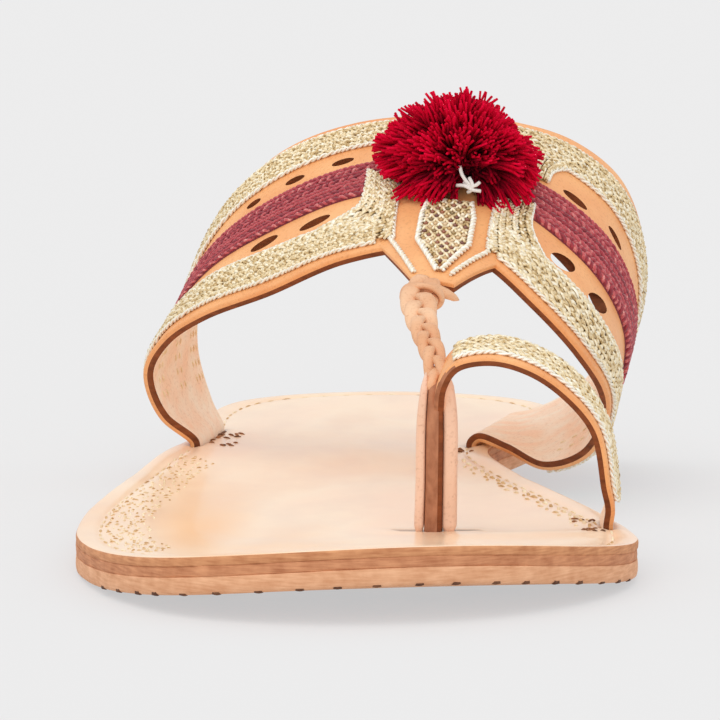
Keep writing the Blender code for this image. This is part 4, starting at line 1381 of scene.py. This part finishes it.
def leaf_outline(side):
    """Twisted thread down one side of the leaf."""
    along = np.linspace(0.0, 1.0, LEAF_STEPS)
    points, normals, _, _ = leaf_frame(side * leaf_half(along), along)
    return couched(points, normals, 0.55, 2.4, 0.26, 0.32, 6, (0.6, 0.9))


def leaf_pad_chart(along, across):
    """Chart of the padded ground under the beads."""
    offset = leaf_half(along) * between(-1.0, 1.0, across)
    return band_number(MOTIF_MEDIAL + offset), between(*MOTIF_SHARES, along)


rng = np.random.default_rng(41)
cells = leaf_net()
crossings = np.concatenate([cells + (step * NET_ACROSS, 0.0) for step in (-0.5, 0.5)]).round(6)
crossings = np.unique(crossings[np.abs(crossings[:, 0]) < leaf_half(crossings[:, 1]) - 0.3], axis=0)
leaf_beads = [bead_shapes(cells, rng)]
leaf_threads = [net_threads(crossings, slant, rng) for slant in (-1, 1)]
leaf_pad = [slab_shape(band_point, leaf_pad_chart, (24, 8), BAND_THICK / 2 - 0.1, BAND_THICK / 2 + 0.40)]
shape, finish = layered((leaf_beads, leaf_threads, [leaf_outline(-1.0), leaf_outline(1.0)], leaf_pad))
leaf_finishes = [bead_glass, gold_thread, silver_thread, leaf_ground]
add_piece("leaf", shape, leaf_finishes, "bead_motif", ["tab_motif"], finish)

# %% [markdown]
# ## Fans beside the tab
# Beside the tab the gold plaits turn up and disappear under the pompom like a fan, and one pale thread
# follows each slanting edge of the tab. A fan is a braid on its own chart: its left and right edges
# each run from the braid to the pompom, and it rides a little higher where it passes over a stripe.

# %% Fans beside the tab
# left edge and right edge, each from section number and width share to section number and share,
# then the rows of plait and how sharply they turn up
FANS = (
    ((6.60, 0.765, 7.22, 0.43), (7.58, 0.965, 7.56, 0.55), 6, 6),
    ((9.00, 0.965, 8.94, 0.62), (9.98, 0.775, 9.52, 0.54), 6, 3),
)
FLARE = ((9.40, 0.185, 9.40, 0.35), (10.05, 0.185, 9.66, 0.34), 3, 3)
# the same ends for the single threads along the tab's slanting edges
TAB_EDGES = ((7.54, 0.95, 7.86, 1.25), (9.02, 0.97, 8.42, 1.25))
STRIPE_RISE = 0.55         # height of a stripe's end under a fan
STRIPE_FRONT = 0.66        # width share in front of the stripes
EDGE_STEPS = 60            # points along a thread on the tab's edge


def over_stripe(number, share):
    """Point of the band, or of the stripe's end where that lies on it."""
    point, normal, _, _ = strap_frame(band_point, number, share)
    rise = STRIPE_RISE * np.clip((STRIPE_FRONT - share) / 0.06, 0.0, 1.0)
    return point + rise[..., None] * normal


def fan_chart(left, right, sharp):
    """Section number and width share from shares of a fan's height and width."""
    def chart(along, across):
        turn = 1.0 - (1.0 - along) ** sharp
        numbers = [between(edge[0], edge[2], turn) for edge in (left, right)]
        shares = [between(edge[1], edge[3], along) for edge in (left, right)]
        return between(*numbers, across), between(*shares, across)
    return chart


def edge_thread(ends):
    """Twisted thread along one slanting edge of the tab."""
    part = np.linspace(0.0, 1.0, EDGE_STEPS)
    number, share = [between(*ends[column::2], part) for column in (0, 1)]
    points, normals, _, _ = strap_frame(band_point, number, share)
    return couched(points, normals, 0.4, 2.2, 0.24, 0.29, 5, (0.5, 0.8))


FAN_SEED, FLARE_SEED = 61, 62
fans = [(over_stripe, *fan, FAN_SEED) for fan in FANS] + [(band_point, *FLARE, FLARE_SEED)]
fan_parts = []
for surface, left, right, rows, sharp, seed in fans:
    fan_parts.append(braid_shape(surface, fan_chart(left, right, sharp), BAND_THICK / 2, rows, seed))
tab_threads = joined([edge_thread(ends) for ends in TAB_EDGES])
shape = joined([part for part, _ in fan_parts] + [tab_threads])
finish = np.concatenate([kinds for _, kinds in fan_parts] + [np.ones(len(tab_threads[1]), dtype=int)])
add_piece("fan_threads", shape, braid_finishes, "gold_braid", (), finish)

# %% [markdown]
# ## Anchor inside the tab
# Under the tab a small square of brown leather holds the end of the thong. It is seen only from the
# heel and from below. The band's own surface, moved inwards by the thickness, gives its bend.

# %% Anchor inside the tab
PATCH_HALF = 5.4
PATCH_SHARES = (0.84, 1.19)
PATCH_SEAT = 1.65          # depth of the patch's middle under the band's middle surface
PATCH_THICK = 1.5
PATCH_COLUMNS = 25
PATCH_ROWS = 20
PATCH_CORNER = 0.09        # width share that its front corners are rounded by


def patch_point(number, share):
    """Point of the patch's middle surface."""
    point, normal, _, _ = strap_frame(band_point, number, share)
    return point - PATCH_SEAT * normal


patch_columns = band_number(TAB_MEDIAL + np.linspace(-PATCH_HALF, PATCH_HALF, PATCH_COLUMNS))
patch_back = np.full(PATCH_COLUMNS, PATCH_SHARES[0])
patch_front = PATCH_SHARES[1] - PATCH_CORNER * np.linspace(-1.0, 1.0, PATCH_COLUMNS) ** 6
patch_shape, _ = strap_shape(patch_point, patch_columns, patch_back, patch_front, PATCH_THICK, PATCH_ROWS)
add_piece("thong_anchor", patch_shape, [anchor_leather], "anchor_leather", ["thong_patch"])

# %% [markdown]
# ## Stitches
# Thick thread holds the layers together in a row round the edge, smaller stitches are sprinkled along
# the border as a pattern, and short ones hatch the places where straps go through the insole. A stitch
# is a little arch of thread whose ends sink into the leather, so all of them are cords again.

# %% Stitches
STITCH_STEPS = 6
UP = np.array((0.0, 0.0, 1.0))


def stitches(starts, ends, up, radius, rise, tints):
    """Little arches of thread between points of a surface; the upward way is one for all or one for each."""
    part = np.linspace(0.0, 1.0, STITCH_STEPS)[:, None]
    lines = starts[:, None] + (ends - starts)[:, None] * part
    lift = rise * np.sin(np.pi * part) - 0.7 * radius
    ups = np.broadcast_to(up, starts.shape)[:, None]
    return cords(lines + lift * ups, ups, radius, 0.8 * radius, 5, 1.0, tints)


def rim_distance(station, medial_side):
    """Distance round the edge to a station on one side."""
    half = slice(toe_index, None) if medial_side else slice(0, toe_index + 1)
    order = np.argsort(edge_ring[half, 1])
    return float(np.interp(station, edge_ring[half, 1][order], edge_lengths[half][order]))


def rim_plan(distances, inset):
    """Medial offsets and stations at distances round the edge, an inset inside it."""
    return at_lengths(level_plan(inset), edge_lengths, distances, perimeter)


def on_footbed(plan, inset=SKIRT):
    """Points on the insole's top."""
    return np.column_stack((plan, insole_height(plan, inset)))


def rim_row(first, last, inset, spacing, length, stray, radius, rng):
    """Row of stitches along the border, each strayed and turned by chance."""
    at = np.arange(first, last, spacing)
    at = at + rng.uniform(-0.3, 0.3, len(at)) * spacing * stray
    inward = unit(rim_plan(at, inset + 1.0) - rim_plan(at, inset))
    astray = rng.uniform(-stray, stray, (len(at), 1)) * inward
    lean = rng.uniform(-stray, stray, (len(at), 1)) * 0.5 * length * inward
    starts = on_footbed(rim_plan(at - 0.5 * length, inset) + astray - lean, inset)
    ends = on_footbed(rim_plan(at + 0.5 * length, inset) + astray + lean, inset)
    return stitches(starts, ends, UP, radius, 1.1 * radius, rng.uniform(0.15, 1.0, len(at)))


# inset, spacing, length, stray and radius of the seam round the whole edge, and the gap at its end
EDGE_SEAM = (4.0, 5.0, 3.2, 0.1, 0.22)
EDGE_SEAM_GAP = 2.5
# first and last station, whether on the medial side, inset, spacing, length, stray, radius
BORDER_ROWS = (
    (104.0, 228.0, False, 5.6, 2.2, 1.0, 0.7, 0.17),
    (104.0, 227.0, False, 7.0, 2.2, 1.0, 0.8, 0.17),
    (106.0, 226.0, False, 8.4, 2.2, 1.0, 0.8, 0.17),
    (108.0, 224.0, False, 9.8, 2.4, 1.0, 0.8, 0.17),
    (110.0, 222.0, False, 11.2, 2.6, 1.0, 0.8, 0.17),
    (182.0, 104.0, True, 5.8, 3.6, 2.4, 0.3, 0.32),
    (180.0, 106.0, True, 7.4, 4.0, 1.4, 0.6, 0.26),
)
# medial, station, reach to the sides, reach along, half length of a stitch, its radius, count
HATCHES = (
    (-27.8, 76.0, 3.0, 15.0, 1.8, 0.26, 20),
    (14.5, 94.0, 3.6, 3.2, 0.7, 0.22, 12),
    (39.8, 192.0, 1.8, 2.6, 0.7, 0.22, 7),
    (38.6, 176.0, 2.4, 3.0, 0.7, 0.22, 6),
)


def hatch(medial, station, wide, long, half_length, radius, count, rng):
    """Short stitches where a strap goes through the insole."""
    centre = np.array((medial, station)) + rng.uniform(-1.0, 1.0, (count, 2)) * (wide, long)
    half = np.stack((rng.uniform(0.3, 0.7, count), rng.uniform(-1.0, 1.0, count) * half_length), axis=1)
    tints = rng.uniform(0.0, 1.0, count)
    return stitches(on_footbed(centre - half), on_footbed(centre + half), UP, radius, 1.1 * radius, tints)


rng = np.random.default_rng(71)
rows = [rim_row(0.0, perimeter - EDGE_SEAM_GAP, *EDGE_SEAM, rng)]
for first, last, medial_side, *values in BORDER_ROWS:
    rows.append(rim_row(rim_distance(first, medial_side), rim_distance(last, medial_side), *values, rng))
hatches = [hatch(*values, rng) for values in HATCHES]
shape, finish = layered((rows, hatches))
add_piece("insole_stitches", shape, [border_thread, dark_thread], "insole_leather", (), finish)

# %% [markdown]
# ## Stitches under the sole and in the lining
# The sewing thread comes out again in the groove under the outsole, and dots of it show along the
# bottom edge at the toe. Inside the band, rows of small stitches show where each braid is sewn on.

# %% Stitches under the sole and in the lining
SEAM_PITCH = 5.6
SEAM_LENGTH = 4.2
SEAM_HEIGHT = 0.62         # height of the thread in its groove
DOT_SPACING = 6.4
DOT_HALF = 0.6
DOT_INSET = 0.5
DOT_HEIGHT = -0.05
LINING_STEP = 1.6
# width share, first and last section of a row of stitches on the lining
LINING_ROWS = (
    (0.05, 2.4, 13.8), (0.11, 2.4, 13.8), (0.17, 2.4, 13.8), (0.42, 2.4, 13.8), (0.50, 2.4, 13.8),
    (0.80, 2.4, 7.3), (0.87, 2.4, 7.3), (0.80, 9.3, 13.8), (0.88, 9.3, 13.8),
)


def under_sole(plan, height):
    """Points a little above the sole's bottom."""
    return np.column_stack((plan, height + sole_lift(plan[:, 0], plan[:, 1])))


def groove_seam(rng):
    """Long stitches that lie in the groove under the outsole."""
    at = np.arange(0.0, perimeter - SEAM_LENGTH, SEAM_PITCH)
    starts = under_sole(rim_plan(at, GROOVE_INSET), SEAM_HEIGHT)
    ends = under_sole(rim_plan(at + SEAM_LENGTH, GROOVE_INSET), SEAM_HEIGHT)
    return stitches(starts, ends, -UP, 0.34, 0.44, rng.uniform(0.2, 0.8, len(at)))


def toe_dots(rng):
    """Ends of the seam's thread along the bottom edge at the toe."""
    at = np.arange(rim_distance(222.0, False), rim_distance(206.0, True), DOT_SPACING)
    at = at + rng.uniform(-0.8, 0.8, len(at))
    starts = under_sole(rim_plan(at - DOT_HALF, DOT_INSET), DOT_HEIGHT)
    ends = under_sole(rim_plan(at + DOT_HALF, DOT_INSET), DOT_HEIGHT)
    return stitches(starts, ends, -UP, 0.48, 0.1, rng.uniform(0.0, 0.3, len(at)))


def lining_row(share, first, last, rng):
    """Row of small stitches on the band's inner face."""
    chart = strip_chart(first, last, (share, share, share, share))
    points, normals, *_ = trim_line(band_point, chart, 0.0, LINING_STEP)
    points = points - BAND_THICK / 2 * normals
    starts, ends, ups = points[:-1:2], points[1::2], -normals[:-1:2]
    count = min(len(starts), len(ends))
    return stitches(starts[:count], ends[:count], ups[:count], 0.2, 0.24, rng.uniform(0.7, 1.0, count))


rng = np.random.default_rng(81)
shape, finish = layered(([groove_seam(rng)], [toe_dots(rng)]))
add_piece("sole_stitches", shape, [sewing_thread, dark_thread], "sole_leather", (), finish)
lining_seams = joined([lining_row(*row, rng) for row in LINING_ROWS])
add_piece("lining_stitches", lining_seams, [border_thread], "band_leather")

# %% [markdown]
# ## Pompom
# The pompom is several hundred ends of crimson yarn, tied to the band in the middle and cut to a dome.
# Hair particles are no mesh of their own, so each yarn is three twisted plies that flare at the cut end.
# The yarns grow from the tie and are laid on the band's own bend. Their colour carries painted shade: dark at
# the roots deep in the dome, and lit towards the tips. They are shorter in front, where the tie shows with a
# fleck of white thread and the short yarns round it are painted in shade, and the dome is trimmed by hand and
# not quite round.

# %% Pompom finish
# the dark stops of this ramp are painted shade deep inside the pompom
crimson_yarn = thread(
    "crimson_yarn",
    ((0.0, (46, 0, 12)), (0.35, (132, 0, 28)), (0.7, (204, 0, 40)), (1.0, (236, 8, 60))),
    {"Roughness": 0.9, "Specular IOR Level": 0.08}, 0.35)
cotton_thread = thread("cotton_thread", ((0.0, (206, 196, 188)), (1.0, (255, 252, 246))), {"Roughness": 0.8})
print("finish:", crimson_yarn.name)

# %% Pompom
POMPOM_MEDIAL = 16.6
POMPOM_SHARE = 0.485
POMPOM_REACH = np.array((12.3, 12.6, 11.2))
POMPOM_MIDDLE = 4.4
TUFTS = 150
TUFT_YARNS = 5
YARNS = TUFTS * TUFT_YARNS
PLIES = 3
YARN_STEPS = 7
YARN_UP = (0.2, 0.4, 0.9)
FLECK_STEPS = 14
LOW_LIMIT = -0.40          # lowest direction of a yarn, as the sine of its slope
# way of a parting, its width, and the change of the yarns' length there
PARTINGS = (
    (np.array((0.30, 0.93, -0.06)), 0.09, -0.60),
    (np.array((-0.55, 0.80, 0.05)), 0.02, -0.28),
)
# the same for places where the dome is trimmed flatter or stands out
TRIMMING = (
    (np.array((-0.40, 0.05, 0.92)), 0.03, 0.10),
    (np.array((-0.80, 0.00, 0.60)), 0.05, -0.08),
    (np.array((0.65, -0.20, 0.74)), 0.13, -0.26),
    (np.array((0.70, 0.66, -0.40)), 0.16, 0.16),
    (np.array((-0.42, 0.84, -0.38)), 0.10, 0.20),
    (np.array((0.30, 0.86, -0.44)), 0.05, 0.14),
    (np.array((0.16, -0.10, 1.00)), 0.03, 0.09),
)


def pompom_spot(local):
    """Points on the band's bend from offsets along it, towards its front, and above it."""
    number = band_number(POMPOM_MEDIAL, POMPOM_SHARE)
    run = np.linalg.norm(band_point(number + 0.5, POMPOM_SHARE) - band_point(number - 0.5, POMPOM_SHARE))
    width = np.linalg.norm(band_point(number, 1.0) - band_point(number, 0.0))
    points, normals, _, _ = strap_frame(
        band_point, number + local[..., 0] / run, POMPOM_SHARE + local[..., 1] / width)
    return points + (BAND_THICK / 2 + local[..., 2:]) * normals


def tuft_directions(rng):
    """Directions of the tufts, spread evenly over the dome and shaken a little."""
    count = np.arange(TUFTS) + 0.5
    rise = 1.0 - (1.0 - LOW_LIMIT) * count / TUFTS
    turn = math.pi * (3.0 - math.sqrt(5.0)) * count
    ring = np.sqrt(1.0 - rise ** 2)
    spread = np.stack((ring * np.cos(turn), ring * np.sin(turn), rise), axis=1)
    return unit(spread + rng.normal(0.0, 0.06, spread.shape))


def shaped(reach, ways, rows):
    """Reach of the yarns, changed round the ways that a table gives."""
    for way, width, change in rows:
        reach = reach * (1.0 + change * bell(1.0 - ways @ unit(way), width))
    return reach


def yarn_paths(rng):
    """Middle lines of the yarns from the tie to the cut ends, and how far each comes out to the light."""
    tufts = np.repeat(tuft_directions(rng), TUFT_YARNS, axis=0)
    ways = unit(tufts + rng.normal(0.0, 0.075, tufts.shape))
    reach = np.repeat(rng.uniform(0.87, 1.05, TUFTS), TUFT_YARNS) * rng.uniform(0.90, 1.04, YARNS)
    reach = shaped(reach, ways, PARTINGS)
    # share of each yarn that reaches the light; short yarns in a parting stay painted in shade
    lit_share = np.minimum(reach, 1.0)
    reach = shaped(reach, ways, TRIMMING)
    tips = ways * reach[:, None] * POMPOM_REACH + (0.0, 0.0, POMPOM_MIDDLE)
    roots = ways * (2.2, 2.2, 0.0) * rng.uniform(0.2, 1.0, (YARNS, 1)) + (0.0, 0.0, 0.6)
    along = np.linspace(0.0, 1.0, YARN_STEPS)[:, None]
    lines = roots[:, None] + (tips - roots)[:, None] * along
    bend = np.sin(np.pi * along) * rng.normal(0.0, 0.5, (YARNS, 1, 3))
    arch = 1.8 * (1.0 - np.clip(ways[:, 2], 0.0, 1.0))[:, None] * np.sin(np.pi * along[:, 0]) ** 1.2
    lines = lines + bend
    lines[..., 2] = np.maximum(lines[..., 2] + arch, 0.45)
    return lines, lit_share


def yarn_shape():
    """All plies of all yarns."""
    rng = np.random.default_rng(51)
    lines, lit_share = yarn_paths(rng)
    along = np.linspace(0.0, 1.0, YARN_STEPS)
    # painted shade: dark at the roots inside the dome, lit towards the tips
    light = 0.02 + 0.80 * (along * lit_share[:, None]) ** 1.9
    forward = unit(np.gradient(lines, axis=1))
    side = unit(np.cross(forward, unit(np.array((0.31, -0.52, 0.79)))))
    above = np.cross(side, forward)
    start = rng.uniform(0.0, 2 * np.pi, (YARNS, 1))
    flare = 0.16 + 0.34 * along ** 2
    shapes = []
    for ply in range(PLIES):
        turn = start + 2 * np.pi * (ply / PLIES + 0.8 * along)
        offset = (np.cos(turn) * flare)[..., None] * side + (np.sin(turn) * flare)[..., None] * above
        paths = pompom_spot(lines + offset)
        shade = light + rng.normal(0.0, 0.10, (YARNS, 1))
        size = 0.32 - 0.10 * along ** 3
        shapes.append(cords(paths, YARN_UP, size, size, 4, 1.0, shade))
    return joined(shapes)


def fleck_shape():
    """White tie thread that shows at the front of the pompom."""
    bends = np.array((
        ((0.0, 8.6, 6.2), (0.5, 9.6, 5.0), (1.6, 10.1, 3.8), (2.6, 9.8, 3.2)),
        ((-0.4, 9.8, 3.0), (1.0, 10.4, 3.4), (2.4, 10.6, 3.0), (3.8, 10.0, 2.8)),
        ((1.6, 9.4, 4.6), (2.3, 10.3, 3.8), (2.1, 10.6, 2.8), (1.6, 10.2, 2.2)),
        ((0.8, 9.4, 3.6), (1.8, 10.3, 3.4), (2.8, 10.3, 3.8), (3.4, 9.6, 4.2)),
    ))
    lines = np.stack([smooth(bend, np.linspace(0.0, 3.0, FLECK_STEPS)) for bend in bends])
    paths = pompom_spot(lines)
    return cords(paths, FRONT + (0.1, 0.0, 0.2), 0.34, 0.34)


add_piece("pompom_yarn", yarn_shape(), [crimson_yarn], "crimson_yarn", ["pompom"])
add_piece("pompom_tie", fleck_shape(), [cotton_thread], "crimson_yarn")
